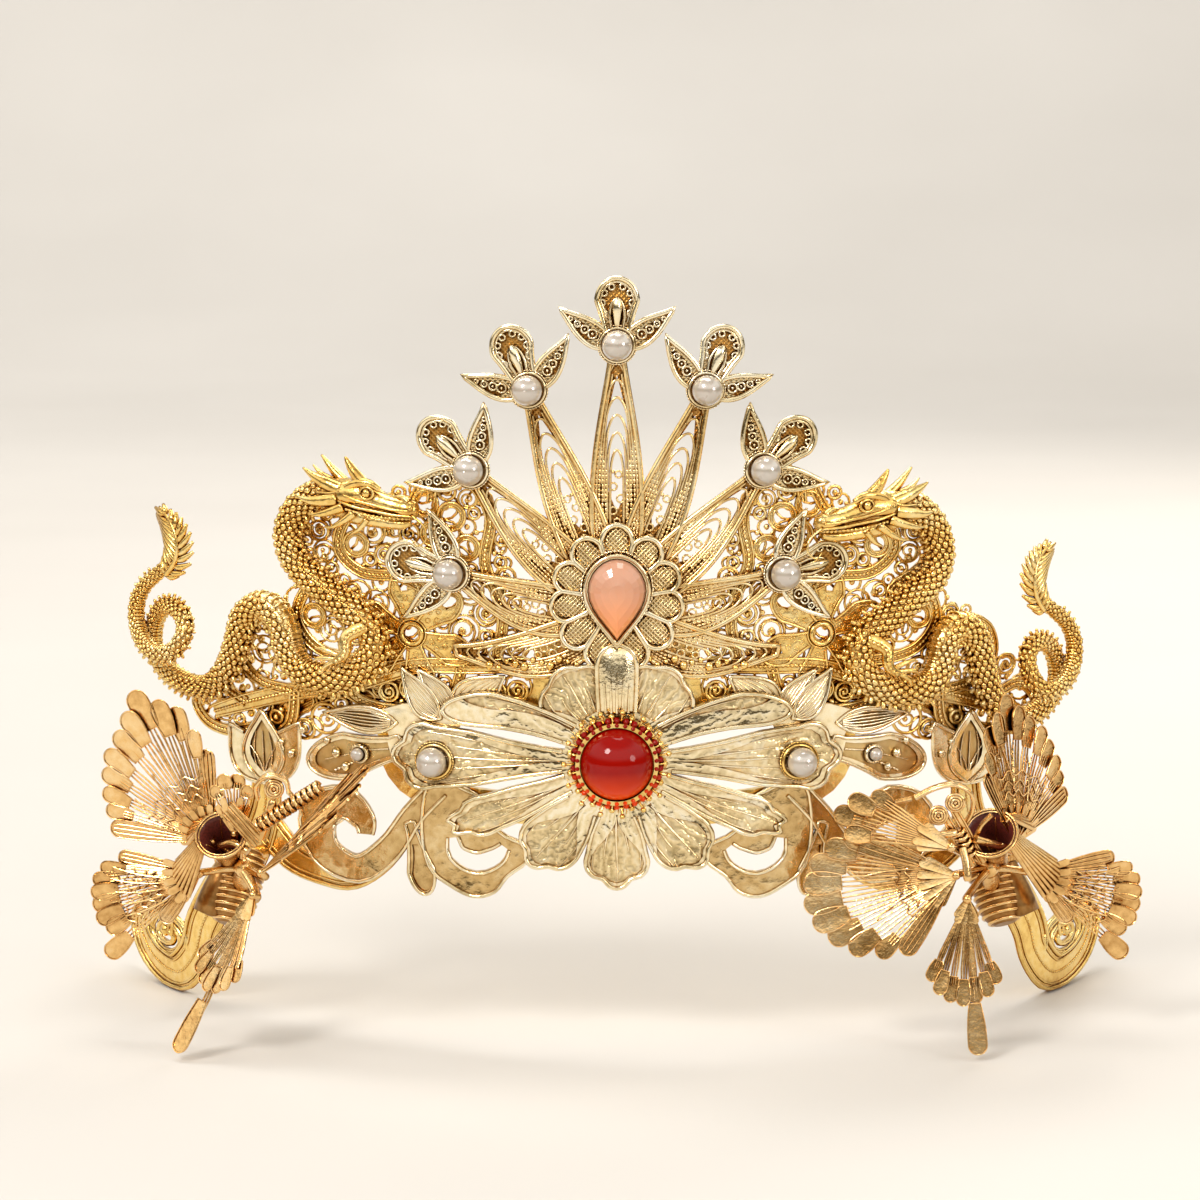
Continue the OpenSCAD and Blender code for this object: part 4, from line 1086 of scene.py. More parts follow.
def addLotus(wires):
    ax, az = leafLook["lotusAt"]

    def placed(line, angle):
        return [(ax - x, az + z) for x, z in turned(line, angle)]

    petals = [placed(insetLeaf(0.22, length, width), angle) for angle, length, width in leafLook["lotus"]]
    for k, petal in enumerate(petals):
        for run in openRuns(petal, petals[2:] if k < 2 else []):
            wires.line(run, leafTop + 0.06, leafLook["boldRim"])
    for angle, length, width in leafLook["lotus"]:
        for vein in leafVeins(length, width, 0.0, leafLook["lotusVeins"]):
            wires.line(placed(vein, angle), leafTop - 0.2, leafLook["vein"], taper=0.4)


def addLeaves():
    for hand, side in hands:
        wires = Wirework(side)
        leaves = [turned(insetLeaf(0.22, *shape), angle, (x, z)) for x, z, angle, *shape in leafLook["spray"]]
        for k, leaf in enumerate(leaves):
            for run in openRuns(leaf, leaves[k + 1:]):
                wires.line(run, leafTop + 0.05, leafLook["rim"])
        for x, z, angle, *shape in leafLook["spray"]:
            for vein in leafVeins(*shape, leafLook["sprayVeins"]):
                wires.line(turned(vein, angle, (x, z)), leafTop - 0.02, leafLook["vein"], taper=0.5)
        place = leafLook["broadPlace"]
        broad = turned(insetPetal(0.25, *leafLook["broad"]), *place)
        wires.line(broad, leafTop + 0.05, leafLook["rim"], True)
        wires.line(turned(leafLook["broadVein"], *place), leafTop - 0.3, leafLook["vein"], taper=0.5)
        wires.grainLine(turned(leafLook["broadGrains"], *place), leafTop - 0.2, 0.3, 0.7)
        addPearlSeat(wires, *leafLook["pearl"], leafTop - 0.1, leafLook["seat"])
        addLotus(wires)
        for x, z, size in leafLook["balls"]:
            wires.ballOn(x, z, leafTop + 0.1, size)
        wires.piece("leafRims" + hand, paleWire, "pale_gold")

        lower = Wirework(side)
        height = panelTop + 0.05
        bold = leafLook["boldRim"]
        lower.line(shifted(loopCurve(leafLook["leafEdge"], 4), -0.3), height, bold, True)
        bars = [(leafLook["hole"], -0.35, leafLook["holeRim"]), (leafLook["hook"], 0.32, bold)]
        for rows, inset, radius in bars:
            for edge in barEdges(rows, 4, inset):
                lower.line(edge, height, radius)
        small = turned(insetPetal(0.28, *leafLook["small"]), *leafLook["smallPlace"])
        lower.line(small, height, leafLook["rim"], True)
        lower.piece("lowerRims" + hand, paleWire, "pale_gold")
    print("leaves have rims and veins")


frameLook = {
    "arm": [(28, 52, 6), (38, 56, 5), (49, 55, 5), (57, 50, 5), (60, 41, 5), (61, 32, 6), (64, 24, 7),
            (69, 17, 7), (73, 9.6, 6.8), (74.8, 3.6, 6.6), (78.6, -1, 6.8), (84, 0.4, 6), (86.6, 5, 4.6),
            (84.2, 9.2, 3.8), (80.6, 8.4, 3.2), (80.4, 5.4, 2.4)],
    "foot": [(61, 30, 6), (56, 25, 5.5), (50, 23, 5), (45, 22.8, 4.6), (39.5, 26.5, 4), (35, 33, 4)],
    "eye": (80.4, 5.2, 4.4),  # middle and size of the scroll inside the volute
    "curls": [(-0.35, 1.0, 2.4, 0.62), (0.1, 0.86, 2.2, 0.24)],  # lift, share of the size, turns, radius
    "rims": [(0.45, 0.46), (1.35, 0.22)],  # inset, radius
    "grainsFrom": 18,  # step along the arm where its row of grains begins
}


def addFrameRelief():
    lowEnough = -crown["lift"] + 0.6
    for hand, side in hands:
        wires = Wirework(side)
        for rows in (frameLook["arm"], frameLook["foot"]):
            for inset, radius in frameLook["rims"]:
                for edge in barEdges(rows, 5, inset):
                    wires.line([(x, max(z, lowEnough)) for x, z in edge], frameTop + 0.05, radius)
        middle = [row[:2] for row in openCurve(frameLook["arm"], 5)]
        wires.grainLine(middle[frameLook["grainsFrom"]:], frameTop, 0.26, 0.7)
        x, z, size = frameLook["eye"]
        for lift, share, turns, radius in frameLook["curls"]:
            wires.curl(x, z, frameTop + lift, size * share, 200, turns, radius, -1)
        wires.piece("voluteRims" + hand, richWire, "rich_gold")
    print("frame relief is laid")


addFan()
addTipFlowers()
addRosette()
addPlateRelief()
addStamens()
addPanels()
addLeaves()
addFrameRelief()


# dragons: a smooth core, rows of grains for scales, a crest of points, a modelled head and a leaf tail
dragonLook = {
    "radius": 2.7, "layer": panelTop + crown["gap"] + 2.7, "core": 0.86, "scale": 0.56, "scalePitch": 1.05,
    "ringPitch": 1.02, "bellyHalf": 42, "droop": (-4.3, -2.1, -3.5), "droopFrom": 50, "droopLength": 28,
    "rows": [  # x, z, layer, share of the radius
        (46, 89, 0, 1), (50.4, 88.7, 0, 1), (54, 85.7, 0, 1), (55.5, 81, 0, 1), (53.8, 76.5, 0, 1),
        (49.9, 73.2, 0, 1), (45.9, 70.3, 0, 1), (41.9, 67.2, 0, 1), (40.6, 63.3, 0, 1), (43, 59.6, 0, 1),
        (47.8, 57.5, 0, 1), (53.1, 58.3, 0, 1), (55.7, 62, 0, 1), (56.9, 66.6, 0, 1), (60, 69, 0, 1),
        (63.4, 66.9, 0, 0.98), (64.9, 62.1, 0, 0.94), (66.9, 57.2, 0, 0.88), (70.4, 53.6, 0, 0.8),
        (74.7, 53.2, 0, 0.72), (79, 55, -0.2, 0.66), (81.4, 58, -0.4, 0.6), (81.5, 61.6, -0.4, 0.58),
        (80.2, 64.8, -0.2, 0.56), (77.8, 66.4, 0.4, 0.56), (75.2, 65.2, 1.4, 0.56), (74.8, 62.3, 2.4, 0.56),
        (77.2, 59.2, 3.6, 0.56), (80.8, 58.6, 4, 0.54), (83.6, 61.2, 3.4, 0.52), (84.4, 65.3, 2.6, 0.5),
        (83, 69, 2, 0.46), (79.8, 72.2, 1.6, 0.42), (77.4, 74.4, 1.4, 0.36)],
    "skull": [(50, 88.8, 0, 2.3), (47.4, 88.9, 0.2, 2.7), (44.6, 88.9, 0.5, 3.0), (42.2, 89, 0.8, 2.7),
              (40.2, 88.2, 1, 2.2), (38.2, 87.7, 1, 1.8), (36.4, 87.3, 1, 1.7), (34.8, 87.0, 1, 1.85),
              (33.5, 86.6, 1, 1.5), (32.9, 86.4, 1, 0.6)],
    "jaw": [(47, 87, 0.4, 1.7), (44, 85.8, 0.6, 1.7), (41, 85.0, 0.7, 1.3), (38, 84.6, 0.8, 1.05),
            (35.8, 84.5, 0.8, 0.95), (34.2, 84.8, 0.8, 0.5)],
    "fleshy": [  # tapered strands of the head: x, z, layer, radius
        [(39.4, 90.3, 2.6, 0.5), (41.2, 91.3, 2.8, 0.75), (43.4, 91.2, 2.7, 0.8), (45.4, 90.2, 2.5, 0.5)],
        [(41.8, 90.8, 2.2, 1.1), (43.4, 92.6, 2.5, 0.95), (44.6, 94.4, 2.7, 0.6), (45.2, 95.6, 2.9, 0.2)],
        [(45.2, 90.6, -0.6, 1.0), (47.2, 92.4, -0.8, 0.8), (48.6, 94.0, -0.9, 0.5), (49.6, 95.2, -1, 0.2)],
        [(46, 89.8, 1.8, 1.5), (48.6, 90.9, 2.1, 1.2), (50.8, 92.0, 2.1, 0.7), (52.6, 93.2, 2, 0.2)],
        [(46.6, 88.4, 2.4, 1.4), (49.2, 88.0, 2.8, 1.1), (51.6, 87.9, 2.8, 0.7), (53.6, 88.4, 2.6, 0.2)],
        [(45.6, 87.2, 2.8, 1.0), (48, 86.2, 3, 0.8), (50.2, 85.6, 2.9, 0.45), (51.8, 85.7, 2.6, 0.15)],
        [(43.8, 86.2, 2.6, 0.8), (45.8, 84.6, 2.8, 0.65), (47.8, 83.6, 2.7, 0.3), (49, 83.5, 2.5, 0.12)],
        [(41.6, 85.2, 2.0, 0.6), (43, 83.4, 2.1, 0.45), (44.4, 82.6, 2.1, 0.15)],
        [(34.6, 88.3, 1.6, 0.7), (35.6, 89, 1.4, 0.55), (36.8, 89, 1.2, 0.3)],
        [(47.8, 91, 0.4, 0.9), (49.6, 92.2, 0.4, 0.5), (51, 93.6, 0.3, 0.15)],
    ],
    "lines": [  # fine lines of the cheek, the lip and the whiskers
        [(45.6, 89.2, 3.4, 0.2), (43.2, 88.4, 3.5, 0.24), (40.6, 87.8, 3.1, 0.24), (37.6, 87.1, 2.7, 0.22),
         (34.4, 86.9, 2.7, 0.2)],
        [(46.6, 88.2, 3.3, 0.2), (43.6, 87.3, 3.5, 0.24), (40.6, 86.8, 3.1, 0.24), (37.2, 86.2, 2.7, 0.24),
         (33.8, 86.0, 2.5, 0.2)],
        [(45.8, 90.2, 2.9, 0.2), (47.8, 89.4, 3.2, 0.22), (50.4, 89.4, 3.0, 0.12)],
        [(34, 86.2, 2.6, 0.22), (32, 84.6, 3, 0.2), (31.6, 82.4, 3.1, 0.16), (33, 81.2, 3, 0.12),
         (34, 82.2, 2.9, 0.08)],
    ],
    "leg": [[(42, 67, 1.4, 1.5), (45.2, 65.2, 2.6, 1.2), (45.6, 62.4, 3.2, 1.0), (47.4, 61, 3.2, 0.7)],
            [(47.2, 61.2, 3.2, 0.5), (49, 60, 3.4, 0.4), (49.6, 58.6, 3.2, 0.12)],
            [(47, 61.4, 3.2, 0.5), (49.8, 61.4, 3.5, 0.4), (51.2, 60.6, 3.3, 0.12)],
            [(46.6, 62, 3.2, 0.5), (49, 63, 3.5, 0.4), (50.8, 63, 3.3, 0.12)]],
    "eye": (41.6, 89.7), "eyeBall": 0.8, "lid": 0.24, "nostril": (34.2, 87.4), "nostrilBall": 0.5,
    "lipGrains": (0.3, 0.72), "legGrains": (0.4, 0.8), "lean": 16,
    "lip": [(45.4, 86.9, 3.1), (41, 85.9, 2.9), (37, 85.6, 2.4), (34.2, 85.6, 2.2)],
    "leafSpine": [(78.2, 72.2), (76.4, 74.8), (76.0, 78), (77.0, 81.2), (79.4, 84)],
    "leafHalf": 5.6, "leafLayer": 1.5, "leafRibs": 11,
    "bellyPlate": [(-52, 0.14), (-26, 0.26), (0, 0.3), (26, 0.26), (52, 0.14)],  # degrees off it, radius
    "spike": [(-0.2, 0.58), (0.8, 0.4), (1.05, 0.42), (1.3, 0.36), (1.5, 0.12)],  # height, radius
}


def dragonPoint(x, z, layer, side):
    if side > 0:  # the right dragon hangs lower, most of all at its tail
        f = min(max((x - dragonLook["droopFrom"]) / dragonLook["droopLength"], 0), 1)
        dx, dz, more = dragonLook["droop"]
        x, z = x + dx * f, z + dz + more * f
    return shellPoint(x, z, dragonLook["layer"] + layer), outwardAt(x, dragonLook["layer"] + layer)


def dragonLine(rows, side, steps, lift=0.0):
    return [dragonPoint(x, z, layer + lift, side)[0] for x, z, layer, *_ in openCurve(rows, steps)]


def addTaper(wires, rows, side, steps=4):
    wires.path(dragonLine(rows, side, steps), [max(row[3], 0.05) for row in openCurve(rows, steps)])


def bodyFrames(side):  # even steps along the body: place, way along, way out, way to the crest, radius
    full = dragonLook["radius"]
    places = [(*dragonPoint(x, z, layer, side), share * full)
              for x, z, layer, share in openCurve(dragonLook["rows"], 10)]
    out, gone, want = [], 0.0, 0.0
    for a, b in zip(places, places[1:]):
        step = (b[0] - a[0]).length / mm
        while want <= gone + step:
            t = (want - gone) / step
            along = (b[0] - a[0]).normalized()
            outward = a[1].lerp(b[1], t).normalized()
            crest = along.cross(outward).normalized()
            radius = a[2] + (b[2] - a[2]) * t
            out.append((a[0].lerp(b[0], t), along, crest.cross(along).normalized(), crest, radius))
            want += dragonLook["ringPitch"] * (0.55 + 0.45 * radius / full)
        gone += step
    return out


def addDragonCore(wires, frames):
    core = dragonLook["core"]
    wires.path([frame[0] for frame in frames], [frame[4] * core for frame in frames])
    for place, along, outward, crest, radius in frames:  # belly plates on the inner side of the curve
        ways = [math.radians(180 + degrees) for degrees, thick in dragonLook["bellyPlate"]]
        wires.path([place + (crest * math.cos(a) + outward * math.sin(a)) * radius * core * mm for a in ways],
                   [thick for degrees, thick in dragonLook["bellyPlate"]])


def addDragonHead(wires, side):
    addTaper(wires, dragonLook["skull"], side)
    addTaper(wires, dragonLook["jaw"], side)
    for rows in dragonLook["fleshy"] + dragonLook["lines"] + dragonLook["leg"]:
        addTaper(wires, rows, side, 5)
    x, z = dragonLook["eye"]
    wires.ball(dragonPoint(x, z, 3.2, side)[0], dragonLook["eyeBall"])
    wires.ball(dragonPoint(*dragonLook["nostril"], 2.6, side)[0], dragonLook["nostrilBall"])
    lid = [dragonPoint(x + 1.15 * math.cos(a), z + math.sin(a), 3.3, side)[0] for a in compass(14)]
    wires.path(lid, [dragonLook["lid"]] * len(lid), True)
    wires.grains(dragonLine(dragonLook["lip"], side, 5), *dragonLook["lipGrains"])
    wires.grains(dragonLine(dragonLook["leg"][0], side, 5, 1.2), *dragonLook["legGrains"])


def addLeafTail(wires, side):
    spine = openCurve(dragonLook["leafSpine"], 6)
    layer, total, ribs = dragonLook["leafLayer"], len(spine) - 1, dragonLook["leafRibs"]
    stem = [dragonPoint(x, z, layer + 0.7, side)[0] for x, z in spine]
    wires.path(stem, [0.62 - 0.42 * t for t in upTo(total)])
    for sign in (1, -1):
        for t in upTo(ribs - 1):
            i = int(t * (total - 3))
            x, z = spine[i]
            ahead = spine[min(i + 2, total)]
            h = math.atan2(ahead[1] - z, ahead[0] - x)
            half = dragonLook["leafHalf"] * math.sin(math.pi * (0.16 + 0.74 * t)) ** 0.8
            half *= 0.74 if sign > 0 else 1.0
            a = h + sign * math.radians(52 - 26 * t)
            tip = (x + half * math.cos(a), z + half * math.sin(a))
            middle = ((x + tip[0]) / 2 - 0.35 * math.cos(h), (z + tip[1]) / 2 - 0.35 * math.sin(h))
            rib = [(x, z, layer + 0.2, 0.4), (*middle, layer + 0.45, 0.62), (*tip, layer, 0.3)]
            addTaper(wires, rib, side)


def addScales(wires, frames):
    core, full = dragonLook["core"], dragonLook["radius"]
    spread = 180 - dragonLook["bellyHalf"]
    for k, (place, along, outward, crest, radius) in enumerate(frames[:-2]):
        across = radius * core
        small = 0.5 + 0.5 * radius / full
        count = max(int(2 * math.pi * across * spread / 180 / (dragonLook["scalePitch"] * small)), 5)
        for j in range(count):
            a = math.radians(-spread + 2 * spread * (j + 0.5 * (k % 2)) / (count - 0.5))
            way = crest * math.cos(a) + outward * math.sin(a)
            grain = dragonLook["scale"] * small * (1 + 0.12 * math.sin(k * 3.1 + j * 5.3))
            wires.ball(place + way * across * mm, grain, along * 1.15)
    for place, along, outward, crest, radius in frames[4:-8:2]:  # two rows of points along the crest
        size = 0.42 + 0.58 * radius / full
        for lean in (-math.radians(dragonLook["lean"]), math.radians(dragonLook["lean"])):
            way = (crest * math.cos(lean) + outward * math.sin(lean) + along * 0.25).normalized()
            foot = place + way * radius * core * mm
            wires.path([foot + way * size * height * mm for height, thick in dragonLook["spike"]],
                       [size * thick for height, thick in dragonLook["spike"]])


def addDragon(hand, side):
    frames = bodyFrames(side)
    core, details, scales = Wirework(side), Wirework(side), Wirework(side)
    addDragonCore(core, frames)
    addDragonHead(details, side)
    addLeafTail(details, side)
    addScales(scales, frames)
    bm = bmesh.new()
    for wires, sides in ((core, 12), (details, 10), (scales, 6)):
        bm.from_mesh(wires.mesh("dragonPart" + hand, sides))
    bmesh.ops.remove_doubles(bm, verts=bm.verts, dist=1e-7)
    mesh = meshFrom("dragon" + hand, bm)
    addPiece("dragon" + hand, mesh, dragonGold, "rich_gold", "dragon_" + hand.lower())
    print("dragon", hand, "is built")


for hand, side in hands:
    addDragon(hand, side)


# phoenixes: fans of feathers, each a pair of wires that ends in a thin round blade
wingLook = {
    "lap": 1.08, "bladeThick": 0.18, "bladeSteps": 10, "bladeFrom": 0.75, "longBladeFrom": 0.67, "wire": 0.2,
    "edge": 0.12, "rib": 0.1, "roots": 5.8, "tailRoots": 3.596, "rootWidth": 1.25, "clear": 0.9,
    "across": (8.2, 1.7, 0.13), "slanted": (7.2, 8.2, 0.12),  # fine wires over the shafts; the last is the radius
    "rightSpread": 1.15, "rightShare": 0.86,  # the right upper wing is wider and shorter
    "upper": [(40, 16), (34, 19.6), (28, 24), (22, 26), (15, 29), (8.5, 26.6), (0.5, 25), (-8, 24),
              (-16, 22.6), (-24, 21), (-32, 19.6), (-41, 18.2)],
    "lower": [(28, 14.6), (20, 17.6), (13, 19.2), (6.5, 19.8), (0, 20.2), (-7, 20.4), (-14, 19.8),
              (-23, 22.4), (-33, 11)],
    "inner": [(-36, 20), (-28, 22.6), (-20, 24.6), (-12, 25.6), (-4, 26), (4, 25.4), (12, 24), (21, 22),
              (31, 19), (41, 16)],
    "breast": [(-14, 16), (-5, 19), (4, 20.4), (13, 18)],
    "small": [(-22, 9), (-8, 10.5), (6, 10.5), (20, 9)],
    "tail": [(-24, 15), (-16.5, 16.6), (-9, 17.4), (-1.5, 17.8), (6, 17.4), (13.5, 16.6), (21, 15)],
    "right": {"upper": [(67.6, 5.4, 29.8), (-12, 46, 0, 64)], "lower": [(70.6, 4.6, 24.4), (0, 14, 0, -19)],
              "inner": [(57, -1.6, 25.4), (0, -3, -4, 196)], "breast": [(56, -3, 30.4), (0, -4, -8, 160)],
              "tail": [(58.5, -5, 22), (2, 6, -9, -90)]},
    "left": {"upper": [(68.4, 6, 29.5), (0, 14, 0, 47)], "lower": [(70.6, 4.6, 24.4), (0, 14, 0, -19)],
             "inner": [(59.4, -1.4, 25.4), (44, 0, -80, 186)], "breast": [(64.4, 3.4, 31.4), (0, 12, 0, 88)],
             "tail": [(60.5, -4.6, 22.4), (-20, 52, -9, -90)]},
}


def fanMatrix(pose):  # the fan's own plane to the crown, in millimetres on the right-hand side
    at, (roll, yaw, pitch, spin) = pose
    return (Matrix.Translation((at[0], at[1] - crown["depthMid"], at[2] + crown["lift"]))
            @ Matrix.Rotation(math.radians(roll), 4, "Y") @ Matrix.Rotation(math.radians(yaw), 4, "Z")
            @ Matrix.Rotation(math.radians(90 + pitch), 4, "X") @ Matrix.Rotation(math.radians(spin), 4, "Z"))


def bladeEdge(start, length, width, full):  # half outline of a blade, root to tip, with a round end
    half = width / 2
    tipAt = length - half
    root = 0.35 if full else width * 0.32
    edge = []
    for u in upTo(wingLook["bladeSteps"]):
        if u <= 0.5:
            swell = math.sin(math.pi / 2 * min(2 * u / (0.9 if full else 0.8), 1)) ** 1.1
            edge.append((start + (tipAt - start) * 2 * u, root + (half - root) * swell))
        else:
            a = math.pi * (u - 0.5)
            edge.append((tipAt + half * math.sin(a), max(half * math.cos(a), 0.02)))
    return edge


def bladePoint(x, y, lift=0.0):  # nearly flat, with a shallow keel, and lifting a little towards the tip
    return Vector((x, y, 0.1 * min(abs(y), 1.5) + 0.5 * (x / 20) ** 2 + lift))


def addBlade(bm, place, angle, start, length, width, height, lean, full):
    steps = wingLook["bladeSteps"]
    edge = bladeEdge(start, length, width, full)
    turn = place @ Matrix.Rotation(math.radians(angle), 4, "Z") @ Matrix.Translation((0, 0, height))
    turn = turn @ Matrix.Rotation(math.radians(lean), 4, "X")
    blade = bmesh.new()
    for vert in bmesh.ops.create_grid(blade, x_segments=steps, y_segments=2, size=1.0)["verts"]:
        x, half = edge[round((vert.co.x + 1) / 2 * steps)]
        vert.co = bladePoint(x, half * vert.co.y)
    bmesh.ops.solidify(blade, geom=list(blade.faces), thickness=wingLook["bladeThick"])
    blade.transform(Matrix.Scale(mm, 4) @ turn)
    mesh = meshFrom("blade", blade)
    bm.from_mesh(mesh)
    bpy.data.meshes.remove(mesh)
    return turn, edge


def poseOf(side, part):
    return fanMatrix(wingLook["right" if side > 0 else "left"][part])


def addWing(side, hand, part, rows, squeeze=1.0, cross=0, wide=()):
    place = poseOf(side, part)
    wires = Wirework()
    bm = bmesh.new()
    count = len(rows)
    low, high = min(a for a, _ in rows), max(a for a, _ in rows)
    pitch = (high - low) / (count - 1) * squeeze

    def at(radius, angle, height):
        a = math.radians(angle * squeeze)
        return (place @ Vector((radius * math.cos(a), radius * math.sin(a), height))) * mm

    for k, (angle, length) in enumerate(rows):
        full = k in [end % count for end in wide]
        width = min(max(wingLook["lap"] * math.radians(pitch) * length, 2.3), 3.9)
        longest = part == "tail" and length > 20
        start = 2.6 if full else length * wingLook["longBladeFrom" if longest else "bladeFrom"]
        turn, edge = addBlade(bm, place, angle * squeeze, start, length, width * (1.25 if full else 1.0),
                              0.15 + 0.3 * (k % 2), 6 if k % 2 else 3, full)
        rim = edge + [(x, -y) for x, y in reversed(edge)]
        wires.path([(turn @ bladePoint(x, y, 0.1)) * mm for x, y in rim], [wingLook["edge"]] * len(rim), True)
        if full:
            for across in (-0.5, 0, 0.5):
                rib = [(turn @ bladePoint(x, y * across, 0.16)) * mm for x, y in edge[1:8]]
                wires.path(rib, [wingLook["rib"]] * len(rib))
            continue
        for off in (-0.34 * pitch, 0, 0.34 * pitch):
            bend = [(2.0, off * 0.3, 0.3), (length * 0.34, off, 0.35), (length * 0.66, off, 0.35),
                    (length * 0.84, off * 0.6, 0.6)]
            wires.path([at(radius, angle + more / squeeze, height) for radius, more, height in bend],
                       [wingLook["wire"]] * 3 + [0.1])
    for k, t in enumerate(upTo(count)):  # short plates where the feathers leave the cup
        angle = low - 8 + (high - low + 16) * t
        reach = wingLook["tailRoots" if part == "tail" else "roots"] + 0.8 * (k % 2)
        width = wingLook["rootWidth"]
        addBlade(bm, place, angle * squeeze, 0.2, reach, width, 0.35 + 0.3 * (k % 2), 14, True)
    inmost, apart, thick = wingLook["across"]
    nearest, reach, thin = wingLook["slanted"]
    first, last = low + 12, high - 8
    for j in range(cross):
        line = [at(inmost + apart * j + 0.5 * math.sin(i * 0.9 + j), first + (last - first) * t, 0.75)
                for i, t in enumerate(upTo(26))]
        wires.path(line, [thick] * len(line))
        line = [at(nearest + reach * t, first + (last - first) * j / cross + 9 * t, 0.85) for t in upTo(8)]
        wires.path(line, [thin] * len(line))
    bm.from_mesh(wires.mesh("wingWires"))
    if side < 0:
        bmesh.ops.scale(bm, vec=(-1, 1, 1), verts=bm.verts)
    bmesh.ops.remove_doubles(bm, verts=bm.verts, dist=1e-7)
    bmesh.ops.recalc_face_normals(bm, faces=bm.faces)
    mesh = meshFrom(part + "Wing" + hand, bm)
    node = ("tail_" if part == "tail" else part + "_wing_") + hand.lower()
    addPiece(part + "Wing" + hand, mesh, wingGold, "rose_gold", node)
    mesh.set_sharp_from_angle(angle=math.radians(40))


def addPhoenix(hand, side):
    left = side < 0
    upper = wingLook["upper"]
    if not left:
        upper = [(angle, length * wingLook["rightShare"]) for angle, length in upper]
    ends = (0, -1)
    addWing(side, hand, "upper", upper, 1.0 if left else wingLook["rightSpread"], 3, ends)
    addWing(side, hand, "lower", wingLook["lower"], 1.0, 5, ends)
    addWing(side, hand, "inner", wingLook["inner"], 0.55 if left else 1.0, 2, ends)
    addWing(side, hand, "breast", wingLook["small" if left else "breast"])
    place, angle = poseOf(side, "tail"), -4 if left else 5
    down = place.to_3x3() @ Vector((math.cos(math.radians(angle)), math.sin(math.radians(angle)), 0))
    longest = (place.translation.z - wingLook["clear"]) / -down.z
    addWing(side, hand, "tail", wingLook["tail"] + [(angle, longest)])


for hand, side in hands:
    addPhoenix(hand, side)


# phoenix bodies: a ribbed belly, a lined cup, the neck bar, and a head with a hood and coil eyes
bodyLook = {  # places as x, y, z on the right-hand side, the same as the solids
    "belly": (65, 12.8, 20.5), "axis": (-0.221, 0.407, 0.887), "half": 6.9, "radius": 4.7,
    "ribs": 12, "rib": 0.33,
    "chest": (67, 12.4, 24.6), "chestWay": (0.28, -0.1, -0.95),
    "chestSteps": [(0, 1.6), (2, 2.0), (4.5, 2.6), (7, 3.0), (9, 3.1), (9.6, 0.4)],  # way along, radius
    "hub": (63.4, 6.4, 25), "hubBall": 1.9, "hubFrom": (64.4, 11, 20), "hubStem": (1.6, 1.5),
    "post": (61, 25, 11), "postThick": 1.3, "arm": (0.7, 0.7, 0.6, 0.8), "armBall": 0.8,
    "cupRoot": 1.7, "cupThick": 0.22, "collar": 9, "collarRadius": 4.4,
    "bar": (0.62, 0.72), "barEdge": 0.2, "rod": 0.72, "rodEnd": 0.5, "spring": 0.26, "springRod": 0.8,
    "band": 0.34, "hoodWires": (-0.9, -0.3, 0.3, 0.9), "curlWires": (-0.5, 0, 0.5),
    "eyeCoils": [(1.45, 0.3, 0.0), (1.05, 0.24, -0.3), (0.62, 0.22, -0.45)],  # radius, wire, lift
    "right": {
        "cup": [(63.0, 2.0, 31.8), (65.2, 10.2, 24.6)], "rim": 4.6,
        "eyes": [(53.9, -1.6, 35.6), (56.7, -1.4, 37.7)],
        "hood": [(50.2, 0.6, 38.4), (53.2, -0.4, 40.2), (56.6, -0.6, 40.9), (59.4, 0.2, 39.2),
                 (59.8, 1.2, 36), (58.4, 1.6, 33.6)],
        "bars": [[(54.8, -1.0, 35.8), (60, 1.6, 26.4)], [(56.6, -0.8, 36.4), (61.8, 1.8, 27)]],
        "rods": [[(60.2, -0.6, 31.4), (64, 1.8, 29.8), (68, 4.6, 28.2)],
                 [(50.8, -1.6, 32.4), (54, -1.8, 32.2), (57, -1.2, 32.6)],
                 [(58, -1.6, 30), (58.6, -2.4, 27.6), (58.8, -3, 24.6)]],
        "springs": [[(57.2, -0.4, 33), (59.6, 0.6, 28.6)]],
        "curls": [[(49.6, 1.4, 38), (45.8, 1.2, 37), (42, 0.4, 35.4), (40.4, 0, 33.4), (43, 0.2, 33.2),
                   (46, 0.2, 34.6), (50, 0.2, 35.2)],
                  [(60.4, 1.6, 31), (61.4, 0.6, 33.6), (63, 0.2, 35.4)]],
    },
    "left": {
        "cup": [(66.6, 1.4, 31.6), (65.8, 10.2, 24.6)], "rim": 4.3,
        "eyes": [(57.4, -1.2, 40)],
        "hood": [(60.2, 0.4, 38.2), (60.4, 0, 40.6), (58.4, -0.6, 42.4), (55.6, -0.6, 41.6),
                 (55, -0.2, 39.4)],
        "bars": [[(64.9, 0.4, 37), (59.8, 0.6, 31.2)], [(65.7, 0.8, 35.8), (60.6, 0.8, 30)]],
        "rods": [[(62, 0.2, 29), (64.6, 1.4, 30.2), (67.2, 3, 29.4)],
                 [(59.8, 0.6, 31.2), (58.4, -0.4, 35), (57.6, -0.8, 38)],
                 [(63, 0.8, 25.4), (61, -0.6, 22.6), (60.5, -2.2, 21)]],
        "springs": [[(60.2, -0.8, 33.6), (49.6, -1.4, 40.4)]],
        "curls": [[(55, -0.2, 39.4), (53.4, -0.8, 37.6), (52.6, -1, 35.6)]],
    },
}


def seat(point):  # a place of the tables, in the crown's frame
    return Vector((point[0], point[1] - crown["depthMid"], point[2] + crown["lift"])) * mm


def around(turn, radius, angle, height=0.0):  # a place on a ring in a turned frame
    return turn @ Vector((radius * math.cos(angle), radius * math.sin(angle), height))


